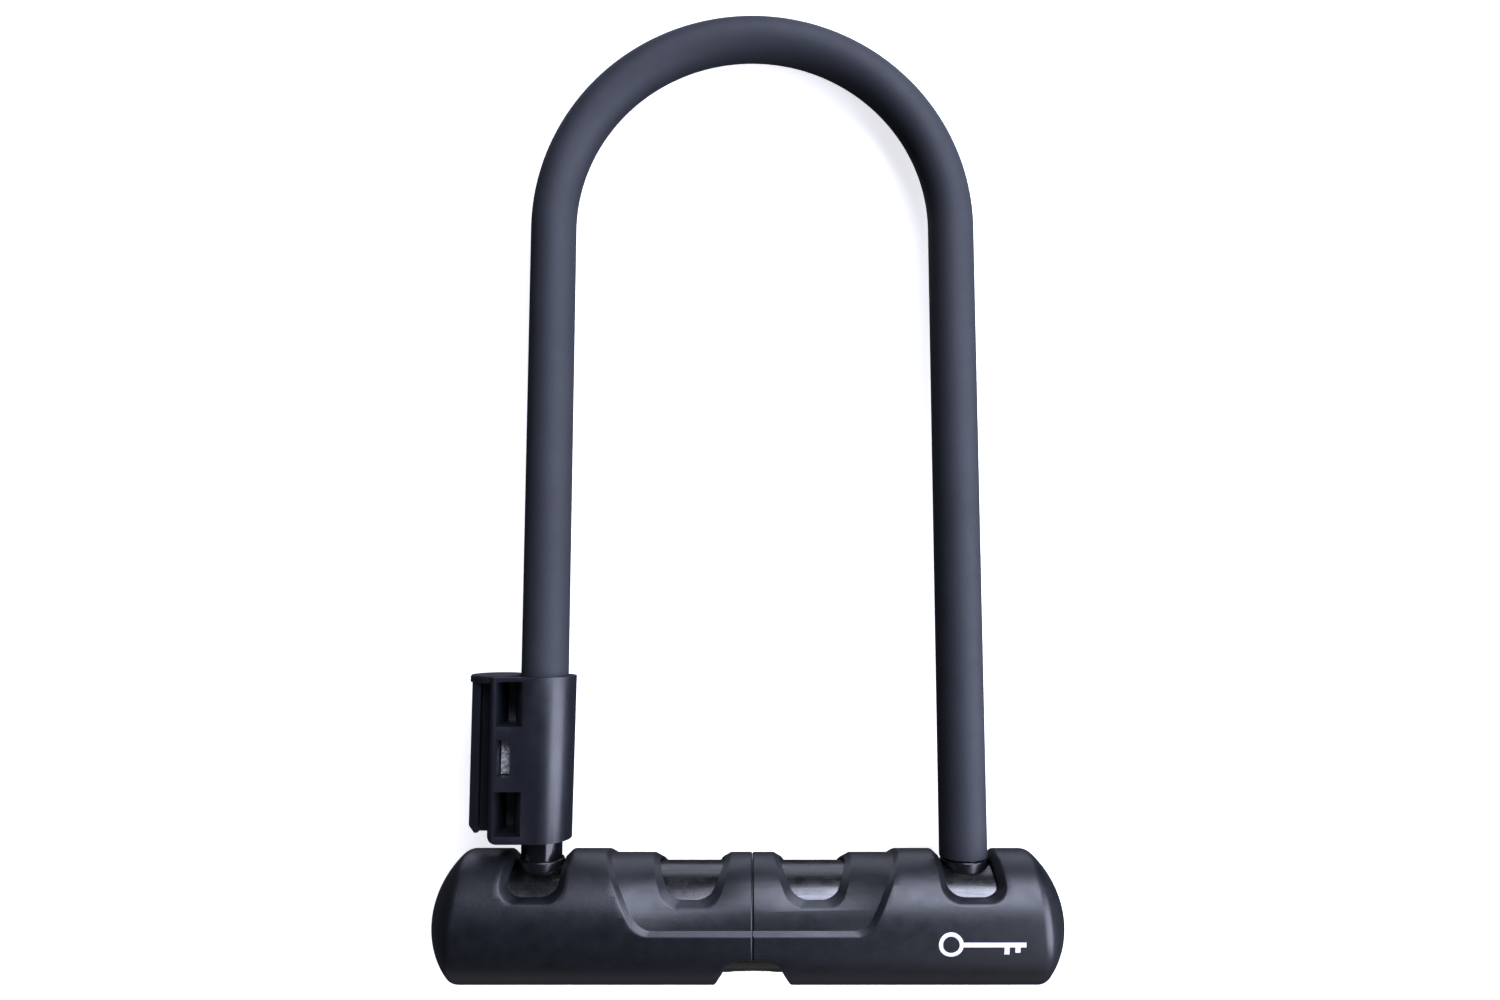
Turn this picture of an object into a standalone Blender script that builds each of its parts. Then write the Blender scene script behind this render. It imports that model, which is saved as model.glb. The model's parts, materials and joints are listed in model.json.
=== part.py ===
"""Bicycle U lock with a bracket carrier clamped on its left leg.

The lock is modelled in its own frame: the crossbar's axis is X, the legs run along +Y to
the arch, and +Z is the face that looks up.  One empty then lays the lock on a flat
surface: the crossbar's cover and the crown of the arch both touch z = 0.
"""
import math

import bmesh
import bpy
from mathutils import Matrix, Vector

MM = 0.001
GAP = 0.3 * MM

# Shackle
LEG_X = 62.0 * MM            # half the leg spacing, and the arch's radius
ARCH_Y = 207.2 * MM          # where the straight legs end
BAR_R = 6.0 * MM
COAT_R = 7.0 * MM
COAT_WALL = COAT_R - BAR_R - GAP
FOOT_Y = -9.5 * MM           # lower end of the feet
FOOT_TAPER = 1.6 * MM
COAT_END_RIGHT = 16.7 * MM
COAT_END_LEFT = 24.0 * MM    # hidden inside the carrier's sleeve
ARCH_STEPS = 22

# Crossbar
TUBE_R = 15.2 * MM
TUBE_WALL = 3.0 * MM
TUBE_HALF = 79.4 * MM
BORE_R = TUBE_R - TUBE_WALL
COVER_R = 18.5 * MM
COVER_BORE_R = TUBE_R + GAP
COVER_BORE_END = TUBE_HALF + GAP
END_TIP_LEFT = 92.75 * MM    # the left end stands out a little further
END_TIP_RIGHT = 90.15 * MM
END_SPHERE = 24.8 * MM       # radius of the shallow dome that closes an end
END_ROUND = 4.0 * MM         # rounding between the dome and the cylinder
END_RAKE = 0.05              # the ends lean: longer away from the legs
SEAM_HALF = 0.15 * MM
END_PLUG_LONG = 6.2 * MM
LEG_HOLE_R = COAT_R + 0.4 * MM
SEAL_R = COAT_R - 0.2 * MM
SEAL_LOW = 13.1 * MM
OUTSIDE = 20.0 * MM          # past every surface near it, for the ends of cutters

# Openings in the cover, as angles round the crossbar (0 = face, 90 = towards the legs).
# An opening's wall is straight up to its WALL radius and slopes outside it.
CUT_FROM, CUT_TO = 14.0 * MM, 21.0 * MM
NOTCH_HALF = 7.3 * MM
NOTCH_CORNER = 5.0 * MM
NOTCH_FROM = 32.8
NOTCH_WALL = 16.6 * MM
NOTCH_LIP = 1.9 * MM         # how far a sloping lip stands out round its opening
NOTCH_SINK = 1.35            # how much wider the lip is at the opening's lower edge
WINDOW_X = 17.5 * MM
WINDOW_LOW_HALF = 5.3 * MM
WINDOW_TOP_HALF = 9.4 * MM
WINDOW_CORNER = 3.4 * MM
WINDOW_FROM = 30.8
WINDOW_WALL = 16.2 * MM
WINDOW_LIP = 2.2 * MM
WINDOW_SINK = 1.6
WING_R = 17.4 * MM
WING_FROM = 3.3
WING_LOW_HALF = 31.0 * MM
WING_TOP_HALF = 41.2 * MM
WING_CORNER = 3.3 * MM
WING_CURVE = 1.7             # how fast the wing's sides straighten towards the legs
WING_STEP = 1.5 * MM
KEY_NOTCH_FROM = 24.0
KEY_NOTCH_WALL = COVER_R - 0.5 * MM
KEY_NOTCH_LOW_HALF = 6.4 * MM
KEY_NOTCH_HALF = 10.8 * MM
KEY_NOTCH_CORNER = 4.2 * MM
KEY_NOTCH_LIP = 0.4 * MM

# Lock cylinder, its axis parallel to the legs at X = 0
HOUSING_R = 8.5 * MM
HOUSING_TOP = 2.5 * MM
HOUSING_PIN_R = 1.0 * MM
HOUSING_PIN_Y = -4.0 * MM
HOUSING_PIN_BACK, HOUSING_PIN_FRONT = -14.0 * MM, -6.9 * MM
PLUG_R = 6.0 * MM
PLUG_FACE = -13.6 * MM
PLUG_TOP = 2.4 * MM
TAIL_R = 3.2 * MM
TAIL_SQUARE = 2.1 * MM
TAIL_TOP = 7.1 * MM
KEYWAY_HALF, KEYWAY_TALL, KEYWAY_END = 1.2 * MM, 4.2 * MM, 1.2 * MM
WAFER_COUNT = 5
WAFER_FIRST = -11.2 * MM
WAFER_PITCH = 2.6 * MM
WAFER_HALF = Vector((2.3, 0.45, 5.2)) * MM
WAFER_SLOT_HALF = Vector((2.6, 0.75, 7.0)) * MM
WAFER_WINDOW_HALF = Vector((1.5, 1.0, 3.4)) * MM
CLIP_LOW, CLIP_TOP = 2.95 * MM, 3.55 * MM
CLIP_R, CLIP_HOLE_R, CLIP_MOUTH_HALF = 7.6 * MM, 2.8 * MM, 2.0 * MM
CLIP_GROOVE_R = 2.4 * MM
CLIP_PLAY = 0.15 * MM
DRIVER_LOW, DRIVER_TOP = 4.1 * MM, 7.4 * MM
DRIVER_R = 9.0 * MM
GROOVE_FLOOR = 5.2 * MM

# Bolts
BOLT_LOW, BOLT_TOP = 7.9 * MM, 10.9 * MM
BOLT_HALF_W = 4.0 * MM
BOLT_TRAVEL = 4.0 * MM       # for a quarter turn of the plug
BOLT_START, BOLT_TIP = 1.0 * MM, 55.4 * MM
PIN_X = 3.2 * MM
PIN_R = 1.1 * MM
PIN_LOW, PIN_TOP = 5.5 * MM, 10.6 * MM
GUIDE_FROM, GUIDE_TO = 16.0 * MM, 44.0 * MM
GUIDE_ROOF = 14.0 * MM
RELIEF_INSET, RELIEF_HALF, RELIEF_TOP = 4.0 * MM, 5.0 * MM, 4.0 * MM
FOOT_NOTCH_FROM = 50.0 * MM  # the feet's notches, which the bolts enter
FOOT_NOTCH_PLAY = 0.5 * MM
FOOT_TIP = 0.78              # a foot's end, as a share of the bar's radius

# Bracket carrier
SLEEVE_R = 9.4 * MM
BLOCK_FILLET = 1.4 * MM
BLOCK_CORNER = 3.0 * MM
CARRIER_LOW, CARRIER_TOP = 22.1 * MM, 69.2 * MM
BLOCK_LEFT = -76.2 * MM
RAIL_OUT, RAIL_IN = -82.3 * MM, -79.8 * MM
RAIL_HALF = 5.2 * MM
WEB_HALF = 2.5 * MM
RAIL_LIFT = 2.4 * MM         # the rail ends this far above the block's lower end
POCKETS = ((24.2 * MM, 36.8 * MM), (55.2 * MM, 68.0 * MM))
POCKET_LEFT, POCKET_RIGHT, POCKET_FLOOR = -74.3 * MM, -66.4 * MM, -7.0 * MM
POCKET_WALL_R = 8.3 * MM     # the sleeve's wall stays round inside the pockets
CAP_X, CAP_R, CAP_THICK, CAP_STEP = -75.8 * MM, 8.2 * MM, 1.7 * MM, 0.4 * MM
NUT_Y, NUT_HALF = 46.2 * MM, 5.0 * MM
NUT_LEFT, NUT_RIGHT = -73.4 * MM, -70.2 * MM
SCREW_R = 2.95 * MM
SCREW_SUNK = 0.4 * MM        # how far the screw's head lies inside the block
SCREW_HOLE_END = -66.0 * MM
KEY_HOLE_R = 2.0 * MM        # through the rail, for the hex key that turns the screw
HEX_R, HEX_DEEP = 1.7 * MM, 3.0 * MM

# How the lock lies: the arch rests on its coating, the crossbar on its cover
ARCH_CROWN_Y = ARCH_Y + LEG_X
LIE = math.asin((COVER_R - COAT_R) / ARCH_CROWN_Y)
LENGTH_FRONT = COVER_R
LENGTH_BACK = ARCH_CROWN_Y * math.cos(LIE) + COAT_R
CROSSBAR_Y = (LENGTH_FRONT - LENGTH_BACK) / 2
CROSSBAR_X = (END_TIP_LEFT - END_TIP_RIGHT) / 2

ROUND = 40                   # sides of the tube and the cover
FACET_TURN = 1.7             # turns the cover's facets off the edges that cut it
Z_TO_X = Matrix.Rotation(math.pi / 2, 4, "Y")
Z_TO_Y = Matrix.Rotation(-math.pi / 2, 4, "X")
Y_TO_Z = Matrix.Rotation(math.pi / 2, 4, "X")


def clear_scene():
    for old in list(bpy.data.objects):
        bpy.data.objects.remove(old)


def collection(name):
    made = bpy.data.collections.new(name)
    bpy.context.scene.collection.children.link(made)
    return made


def finish_material(name, colour, roughness, metallic=0.0):
    made = bpy.data.materials.new(name)
    made.use_nodes = True
    shader = made.node_tree.nodes["Principled BSDF"]
    shader.inputs["Base Color"].default_value = (*colour, 1.0)
    shader.inputs["Roughness"].default_value = roughness
    shader.inputs["Metallic"].default_value = metallic
    return made


def place(name, mesh, where, parent, material=None):
    made = bpy.data.objects.new(name, mesh)
    made.parent = parent
    where.objects.link(made)
    if material:
        mesh.materials.append(material)
        mesh.shade_smooth()
        mesh.set_sharp_from_angle(angle=math.radians(35))
    else:
        made.hide_render = True
        made.display_type = "WIRE"
    return made


def mesh_of(bm):
    """Turn a bmesh into a mesh with its faces pointing out."""
    bmesh.ops.recalc_face_normals(bm, faces=bm.faces)
    mesh = bpy.data.meshes.new("shape")
    bm.to_mesh(mesh)
    bm.free()
    return mesh


def box(low, high):
    bm = bmesh.new()
    bmesh.ops.create_cube(bm, size=1.0)
    size = Vector(high) - Vector(low)
    middle = (Vector(high) + Vector(low)) / 2
    grow = Matrix.Translation(middle) @ Matrix.Diagonal((*size, 1.0))
    bmesh.ops.transform(bm, matrix=grow, verts=bm.verts)
    return mesh_of(bm)


def rod(radius, low, high, turn, sides=24, centre=(0, 0, 0)):
    """A cylinder from low to high along the axis that turn maps Z onto."""
    bm = bmesh.new()
    bmesh.ops.create_cone(
        bm, cap_ends=True, segments=sides, radius1=radius, radius2=radius, depth=high - low)
    shift = Matrix.Translation((0, 0, (low + high) / 2))
    bmesh.ops.transform(bm, matrix=Matrix.Translation(centre) @ turn @ shift, verts=bm.verts)
    return mesh_of(bm)


def evaluated_mesh(made):
    """The mesh of an object with its modifiers, after which the object goes."""
    bpy.context.scene.collection.objects.link(made)
    graph = bpy.context.evaluated_depsgraph_get()
    mesh = bpy.data.meshes.new_from_object(made.evaluated_get(graph))
    mesh.transform(made.matrix_world)
    bpy.data.objects.remove(made)
    bm = bmesh.new()
    bm.from_mesh(mesh)
    bmesh.ops.remove_doubles(bm, verts=bm.verts, dist=1e-6)
    bpy.data.meshes.remove(mesh)
    return bm


def turned(profile, steps, closed=False):
    """Turn a profile of (x, radius) points round the X axis."""
    mesh = bpy.data.meshes.new("profile")
    edges = [(i, i + 1) for i in range(len(profile) - 1)]
    if closed:
        edges.append((len(profile) - 1, 0))
    mesh.from_pydata([(x, r, 0.0) for x, r in profile], edges, [])
    made = bpy.data.objects.new("profile", mesh)
    screw = made.modifiers.new("turn", "SCREW")
    screw.axis = "X"
    screw.steps = screw.render_steps = steps
    screw.use_merge_vertices = True
    screw.merge_threshold = 1e-6
    return evaluated_mesh(made)


def pipe(points, radius, resolution, caps):
    """A tube along points of (x, y, z, relative radius)."""
    curve = bpy.data.curves.new("path", "CURVE")
    curve.dimensions = "3D"
    curve.bevel_depth = radius
    curve.bevel_resolution = resolution
    curve.use_fill_caps = caps
    spline = curve.splines.new("POLY")
    spline.points.add(len(points) - 1)
    for point, (x, y, z, scale) in zip(spline.points, points):
        point.co = (x, y, z, 1.0)
        point.radius = scale
    return evaluated_mesh(bpy.data.objects.new("path", curve))


def slab(outline, low, high, turn):
    """A flat outline of (u, v) points, thick from low to high along its own Z."""
    curve = bpy.data.curves.new("outline", "CURVE")
    curve.dimensions = "2D"
    curve.fill_mode = "BOTH"
    curve.extrude = (high - low) / 2
    spline = curve.splines.new("POLY")
    spline.points.add(len(outline) - 1)
    spline.use_cyclic_u = True
    for point, (u, v) in zip(spline.points, outline):
        point.co = (u, v, 0.0, 1.0)
    bm = evaluated_mesh(bpy.data.objects.new("outline", curve))
    lift = Matrix.Translation((0, 0, (low + high) / 2))
    bmesh.ops.transform(bm, matrix=turn @ lift, verts=bm.verts)
    return mesh_of(bm)


def arc(cx, cy, radius, start, end, steps):
    """Points on an arc, with its angles in degrees."""
    out = []
    for i in range(steps + 1):
        a = math.radians(start + (end - start) * i / steps)
        out.append((cx + radius * math.cos(a), cy + radius * math.sin(a)))
    return out


def combine(target, cutter, operation="DIFFERENCE"):
    step = target.modifiers.new(cutter.name, "BOOLEAN")
    step.operation = operation
    step.solver = "EXACT"
    step.object = cutter


def corner_inset(distance, radius):
    """How far a rounded corner pulls in, at a distance from the outline's end."""
    left = max(radius - distance, 0.0)
    return radius - math.sqrt(max(radius * radius - left * left, 0.0))


def patch(rows, layers, sink=1.0):
    """A block wrapped round the crossbar, for cutting its cover.

    rows are (angle, x low, x high) round the crossbar; layers are (radius, grow), and
    each layer stands grow outside the outline, so that the walls slope.  At the first
    and last row the outline grows by sink times as much.
    """
    middle = (rows[0][0] + rows[-1][0]) / 2
    half = (rows[-1][0] - rows[0][0]) / 2
    bm = bmesh.new()
    rings = []
    for radius, grow in layers:
        stretch = 1 + math.degrees(sink * grow / COVER_R) / half
        ring = []
        for angle, low, high in rows:
            a = math.radians(middle + (angle - middle) * stretch)
            y, z = radius * math.sin(a), radius * math.cos(a)
            ring.append((bm.verts.new((low - grow, y, z)), bm.verts.new((high + grow, y, z))))
        rings.append(ring)
    for ring in (rings[0], rings[-1]):
        for (a, b), (c, d) in zip(ring, ring[1:]):
            bm.faces.new((a, b, d, c))
    for inner, outer in zip(rings, rings[1:]):
        for side in (0, 1):
            for i in range(len(rows) - 1):
                bm.faces.new((inner[i][side], inner[i + 1][side],
                              outer[i + 1][side], outer[i][side]))
        for i in (0, -1):
            bm.faces.new((inner[i][0], inner[i][1], outer[i][1], outer[i][0]))
    return mesh_of(bm)


def arc_length(angle):
    return math.radians(angle) * COVER_R


def notch_rows():
    """The U-shaped notch for a leg, over the top from the face to the back."""
    rows = []
    for angle in (32.8, 33.6, 35.2, 38.4, 42.3, 46.9, 53.1, 62.4, 73.1, 84.2):
        inset = corner_inset(arc_length(angle - NOTCH_FROM), NOTCH_CORNER)
        rows.append((angle, NOTCH_HALF - inset))
    return mirror_over_top(rows)


def window_rows():
    """A window whose sides spread towards the legs."""
    rows = []
    for angle in (30.8, 31.7, 33.4, 36.2, 39.7, 43.9, 49.4, 56.3, 64.3, 73.7, 84.1):
        spread = 1 - (1 - (angle - WINDOW_FROM) / (90 - WINDOW_FROM)) ** 2
        half = WINDOW_LOW_HALF + (WINDOW_TOP_HALF - WINDOW_LOW_HALF) * spread
        inset = corner_inset(arc_length(angle - WINDOW_FROM), WINDOW_CORNER)
        rows.append((angle, half - inset))
    return mirror_over_top(rows)


def wing_rows():
    """The recessed wing round the middle of the crossbar."""
    rows = []
    for angle in (3.3, 4.1, 6.2, 9.4, 13.8, 20.3, 31.6, 43.2, 55.3, 65.9, 78.4, 88.7):
        lean = (1 - (angle - WING_FROM) / (90 - WING_FROM)) ** WING_CURVE
        half = WING_TOP_HALF - (WING_TOP_HALF - WING_LOW_HALF) * lean
        inset = corner_inset(arc_length(angle - WING_FROM), WING_CORNER)
        rows.append((angle, half - inset))
    return mirror_over_top(rows)


def key_notch_rows():
    """The notch under the crossbar that leaves the keyhole free."""
    rows = []
    for depth in (0, 1.7, 4.3, 8.2, 14.6, 22.9, 33.7, 47.4, 63.2):
        flare = 1 - (1 - depth / (90 - KEY_NOTCH_FROM)) ** 2
        inset = corner_inset(arc_length(depth), KEY_NOTCH_CORNER)
        half = KEY_NOTCH_LOW_HALF + (KEY_NOTCH_HALF - KEY_NOTCH_LOW_HALF) * flare - inset
        rows.append((-KEY_NOTCH_FROM - depth, half))
    back = [(-180 - angle, half) for angle, half in reversed(rows)]
    return list(reversed(rows + back))


def mirror_over_top(rows):
    return rows + [(180 - angle, half) for angle, half in reversed(rows)]


def centred(rows, x):
    return [(angle, x - half, x + half) for angle, half in rows]


def cover_shape(side):
    """The outer form of half a cover: a cylinder with a shallow domed end that leans."""
    tip = END_TIP_LEFT if side < 0 else END_TIP_RIGHT
    middle = tip - END_SPHERE
    round_r = COVER_R - END_ROUND
    round_x = math.sqrt((END_SPHERE - END_ROUND) ** 2 - round_r ** 2)
    meet = math.degrees(math.atan2(round_r, round_x))
    profile = [(SEAM_HALF, 0.0), (SEAM_HALF, COVER_R), (WING_TOP_HALF, COVER_R)]
    profile += arc(middle + round_x, round_r, END_ROUND, 90, meet, 3)
    profile += arc(middle, 0.0, END_SPHERE, meet, 0, 6)[1:]
    profile[-1] = (tip, 0.0)
    bm = turned(profile, ROUND)
    off_facets = Matrix.Rotation(math.radians(FACET_TURN), 4, "X")
    bmesh.ops.transform(bm, matrix=off_facets, verts=bm.verts)
    for vert in bm.verts:
        if vert.co.x > middle + round_x - MM:
            vert.co.x -= END_RAKE * vert.co.y
        vert.co.x *= side
    return mesh_of(bm)


def make_cover(build, side, name):
    cover = build.part(name, cover_shape(side), "cover_plastic")
    lipped = [(CUT_FROM, 0), (NOTCH_WALL, 0), (COVER_R, NOTCH_LIP), (CUT_TO, NOTCH_LIP)]
    edged = [(CUT_FROM, 0), (KEY_NOTCH_WALL, 0), (COVER_R, KEY_NOTCH_LIP),
             (CUT_TO, KEY_NOTCH_LIP)]
    stepped = [(WING_R, 0), (COVER_R, WING_STEP), (CUT_TO, WING_STEP)]
    sunk = [(CUT_FROM, 0), (WINDOW_WALL, 0), (WING_R + GAP, WINDOW_LIP), (CUT_TO, WINDOW_LIP)]
    bore = rod(COVER_BORE_R, -MM, COVER_BORE_END, Z_TO_X, ROUND)
    if side < 0:
        bore = rod(COVER_BORE_R, -COVER_BORE_END, MM, Z_TO_X, ROUND)
    notch = patch(centred(notch_rows(), side * LEG_X), lipped, NOTCH_SINK)
    window = patch(centred(window_rows(), side * WINDOW_X), sunk, WINDOW_SINK)
    build.cut(cover, "wing", patch(centred(wing_rows(), 0.0), stepped))
    build.cut(cover, "bore", bore)
    build.cut(cover, "leg_notch", notch)
    build.cut(cover, "window", window)
    build.cut(cover, "key_notch", patch(centred(key_notch_rows(), 0.0), edged))


def housing_pin(radius, back, front):
    """The cross pin that keeps the housing in the tube, or the hole for it."""
    return rod(radius, back, front, Matrix(), 12, (0, HOUSING_PIN_Y, 0))


def make_tube(build):
    ring = [(-TUBE_HALF, TUBE_R), (TUBE_HALF, TUBE_R), (TUBE_HALF, BORE_R),
            (-TUBE_HALF, BORE_R)]
    tube = build.part("body_tube", mesh_of(turned(ring, ROUND, closed=True)), "satin_steel")
    for side in (-1, 1):
        hole = rod(LEG_HOLE_R, BORE_R / 2, OUTSIDE, Z_TO_Y, 32, (side * LEG_X, 0, 0))
        build.cut(tube, "leg_hole", hole)
    build.cut(tube, "cylinder_hole", rod(HOUSING_R + GAP, -OUTSIDE, -BORE_R / 2, Z_TO_Y, 32))
    build.cut(tube, "pin_hole", housing_pin(HOUSING_PIN_R + GAP, -OUTSIDE, -BORE_R / 2))


def make_ends_and_seals(build):
    plug_to = TUBE_HALF - GAP
    plug_from = plug_to - END_PLUG_LONG
    low, high = SEAL_LOW, COAT_END_RIGHT - GAP
    for side, word in ((-1, "left"), (1, "right")):
        ends = sorted((side * plug_from, side * plug_to))
        build.part("end_plug_" + word, rod(BORE_R - GAP, *ends, Z_TO_X, ROUND), "grey_steel")
        leg = (side * LEG_X, 0, 0)
        seal = build.part("leg_seal_" + word, rod(SEAL_R, low, high, Z_TO_Y, 32, leg), "rubber")
        hole = rod(BAR_R + GAP, low - MM, high + MM, Z_TO_Y, 32, leg)
        build.cut(seal, "seal_hole", hole)


def make_housing(build):
    """The lock cylinder's fixed body, cut to the tube's curve, and its cross pin."""
    housing = build.part(
        "cylinder_housing", rod(HOUSING_R, -OUTSIDE, HOUSING_TOP, Z_TO_Y, 32), "brass_nickel")
    curve = rod(TUBE_R - 0.2 * MM, -OUTSIDE, OUTSIDE, Z_TO_X, ROUND)
    build.cut(housing, "housing_curve", curve, "INTERSECT")
    build.cut(housing, "plug_bore", rod(PLUG_R + GAP, -OUTSIDE, 2 * HOUSING_TOP, Z_TO_Y, 32))
    build.cut(housing, "housing_pin_hole",
              housing_pin(HOUSING_PIN_R + GAP, -TUBE_R, HOUSING_PIN_FRONT + 2 * MM))
    build.part("housing_pin", housing_pin(HOUSING_PIN_R, HOUSING_PIN_BACK, HOUSING_PIN_FRONT),
               "grey_steel")


def slab_at(y, half):
    return box((-half.x, y - half.y, -half.z), (half.x, y + half.y, half.z))


def make_plug(build):
    """The part that the key turns, with its keyway, tail, wafers and clip."""
    axis = build.plug_axis
    plug = build.part("cylinder_plug", rod(PLUG_R, PLUG_FACE, PLUG_TOP, Z_TO_Y, 32),
                      "brass_nickel", axis)
    build.cut(plug, "tail", rod(TAIL_R, 0, DRIVER_LOW, Z_TO_Y, 24), "UNION", axis)
    square = box((-TAIL_SQUARE, TAIL_R, -TAIL_SQUARE), (TAIL_SQUARE, TAIL_TOP, TAIL_SQUARE))
    build.cut(plug, "tail_square", square, "UNION", axis)
    ring = rod(1.5 * TAIL_R, CLIP_LOW - CLIP_PLAY, CLIP_TOP + CLIP_PLAY, Z_TO_Y, 24)
    groove = build.cutter("clip_groove", ring, axis)
    core = rod(CLIP_GROOVE_R, CLIP_LOW - MM, CLIP_TOP + MM, Z_TO_Y, 24)
    combine(groove, build.cutter("clip_core", core, axis))
    combine(plug, groove)
    keyway = box((-KEYWAY_HALF, -OUTSIDE, -KEYWAY_TALL), (KEYWAY_HALF, KEYWAY_END, KEYWAY_TALL))
    build.cut(plug, "keyway", keyway, parent=axis)
    for i in range(WAFER_COUNT):
        y = WAFER_FIRST + i * WAFER_PITCH
        build.cut(plug, "wafer_slot", slab_at(y, WAFER_SLOT_HALF), parent=axis)
        wafer = build.part("wafer_%d" % (i + 1), slab_at(y, WAFER_HALF), "brass", axis)
        build.cut(wafer, "wafer_window", slab_at(y, WAFER_WINDOW_HALF), parent=axis)

    clip = build.part("plug_clip", rod(CLIP_R, CLIP_LOW, CLIP_TOP, Z_TO_Y, 32), "grey_steel", axis)
    low, high = CLIP_LOW - MM, CLIP_TOP + MM
    build.cut(clip, "clip_hole", rod(CLIP_HOLE_R, low, high, Z_TO_Y, 24), parent=axis)
    mouth = box((-CLIP_MOUTH_HALF, low, -OUTSIDE), (CLIP_MOUTH_HALF, high, 0))
    build.cut(clip, "clip_mouth", mouth, parent=axis)


def spiral_outline(turn):
    """The outline of a groove that takes a follower pin out by the bolt's travel."""
    half = PIN_R + 0.25 * MM
    steps = 14
    outer, inner = [], []
    for i in range(steps + 1):
        t = i / steps
        a = math.pi / 2 * t
        r = PIN_X + BOLT_TRAVEL * t
        heading = math.atan2(r * math.cos(a) + BOLT_TRAVEL / (math.pi / 2) * math.sin(a),
                             -r * math.sin(a) + BOLT_TRAVEL / (math.pi / 2) * math.cos(a))
        x, z = r * math.cos(a), r * math.sin(a)
        dx, dz = half * math.sin(heading), -half * math.cos(heading)
        outer.append((x + dx, z + dz))
        inner.append((x - dx, z - dz))
    end_heading = math.degrees(heading)
    end_r = PIN_X + BOLT_TRAVEL
    tip = arc(0.0, end_r, half, end_heading - 90, end_heading + 90, 8)[1:-1]
    start_heading = math.degrees(math.atan2(PIN_X, BOLT_TRAVEL / (math.pi / 2)))
    root = arc(PIN_X, 0.0, half, start_heading + 90, start_heading + 270, 8)[1:-1]
    outline = outer + tip + inner[::-1] + root
    return [(turn * x, turn * z) for x, z in outline]


def make_driver(build):
    driver = build.part("driver_plate", rod(DRIVER_R, DRIVER_LOW, DRIVER_TOP, Z_TO_Y, 40),
                        "grey_steel", build.plug_axis)
    side = TAIL_SQUARE + GAP
    build.cut(driver, "driver_square", box((-side, 0, -side), (side, 9 * MM, side)),
              parent=build.plug_axis)
    for turn in (1, -1):
        outline = [(x, -z) for x, z in spiral_outline(turn)]
        groove = slab(outline, GROOVE_FLOOR, DRIVER_TOP + MM, Z_TO_Y)
        build.cut(driver, "spiral_groove", groove, parent=build.plug_axis)


def make_bolts(build):
    for side, word in ((-1, "left"), (1, "right")):
        x_ends = sorted((side * BOLT_START, side * BOLT_TIP))
        body = box((x_ends[0], BOLT_LOW, -BOLT_HALF_W), (x_ends[1], BOLT_TOP, BOLT_HALF_W))
        bolt = build.part("bolt_" + word, body, "grey_steel")
        chamfer = bolt.modifiers.new("edges", "BEVEL")
        chamfer.width = 0.4 * MM
        chamfer.segments = 1
        on_pin = (side * PIN_X, 0, 0)
        hole = rod(PIN_R + GAP, BOLT_LOW - MM, BOLT_TOP + MM, Z_TO_Y, 16, on_pin)
        build.cut(bolt, "bolt_hole", hole)
        build.part("bolt_pin_" + word, rod(PIN_R, PIN_LOW, PIN_TOP, Z_TO_Y, 16, on_pin),
                   "grey_steel")

        ends = sorted((side * GUIDE_FROM, side * GUIDE_TO))
        guide = build.part("bolt_guide_" + word,
                           rod(BORE_R - GAP, *ends, Z_TO_X, ROUND), "white_plastic")
        channel = box((ends[0] - MM, BOLT_LOW - GAP, -BOLT_HALF_W - GAP),
                      (ends[1] + MM, GUIDE_ROOF, BOLT_HALF_W + GAP))
        build.cut(guide, "bolt_channel", channel)
        relief = box((ends[0] + RELIEF_INSET, -OUTSIDE, -RELIEF_HALF),
                     (ends[1] - RELIEF_INSET, RELIEF_TOP, RELIEF_HALF))
        build.cut(guide, "guide_relief", relief)


def shackle_path(low_left, low_right):
    """The centre line of the U, from the right foot over the arch to the left foot."""
    points = [(LEG_X, low_right, 0, 1)]
    points += [(x, y, 0, 1) for x, y in arc(0, ARCH_Y, LEG_X, 0, 180, ARCH_STEPS)]
    points.append((-LEG_X, low_left, 0, 1))
    return points


def make_shackle(build):
    tapered = FOOT_Y + FOOT_TAPER
    path = shackle_path(tapered, tapered)
    path.insert(0, (LEG_X, FOOT_Y, 0, FOOT_TIP))
    path.append((-LEG_X, FOOT_Y, 0, FOOT_TIP))
    bar = build.part("shackle_bar", mesh_of(pipe(path, BAR_R, 6, True)), "black_steel")
    floor = BOLT_LOW - FOOT_NOTCH_PLAY
    roof = BOLT_TOP + FOOT_NOTCH_PLAY
    reach = BOLT_TIP + BOLT_TRAVEL + 0.4 * MM
    for side in (-1, 1):
        x_ends = sorted((side * FOOT_NOTCH_FROM, side * reach))
        notch = box((x_ends[0], floor, -OUTSIDE), (x_ends[1], roof, OUTSIDE))
        build.cut(bar, "foot_notch", notch)

    bm = pipe(shackle_path(COAT_END_LEFT, COAT_END_RIGHT), COAT_R, 6, False)
    coat = build.part("shackle_coating", mesh_of(bm), "coating")
    wall = coat.modifiers.new("wall", "SOLIDIFY")
    wall.thickness = COAT_WALL
    wall.offset = -1
    wall.use_even_offset = True


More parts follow.
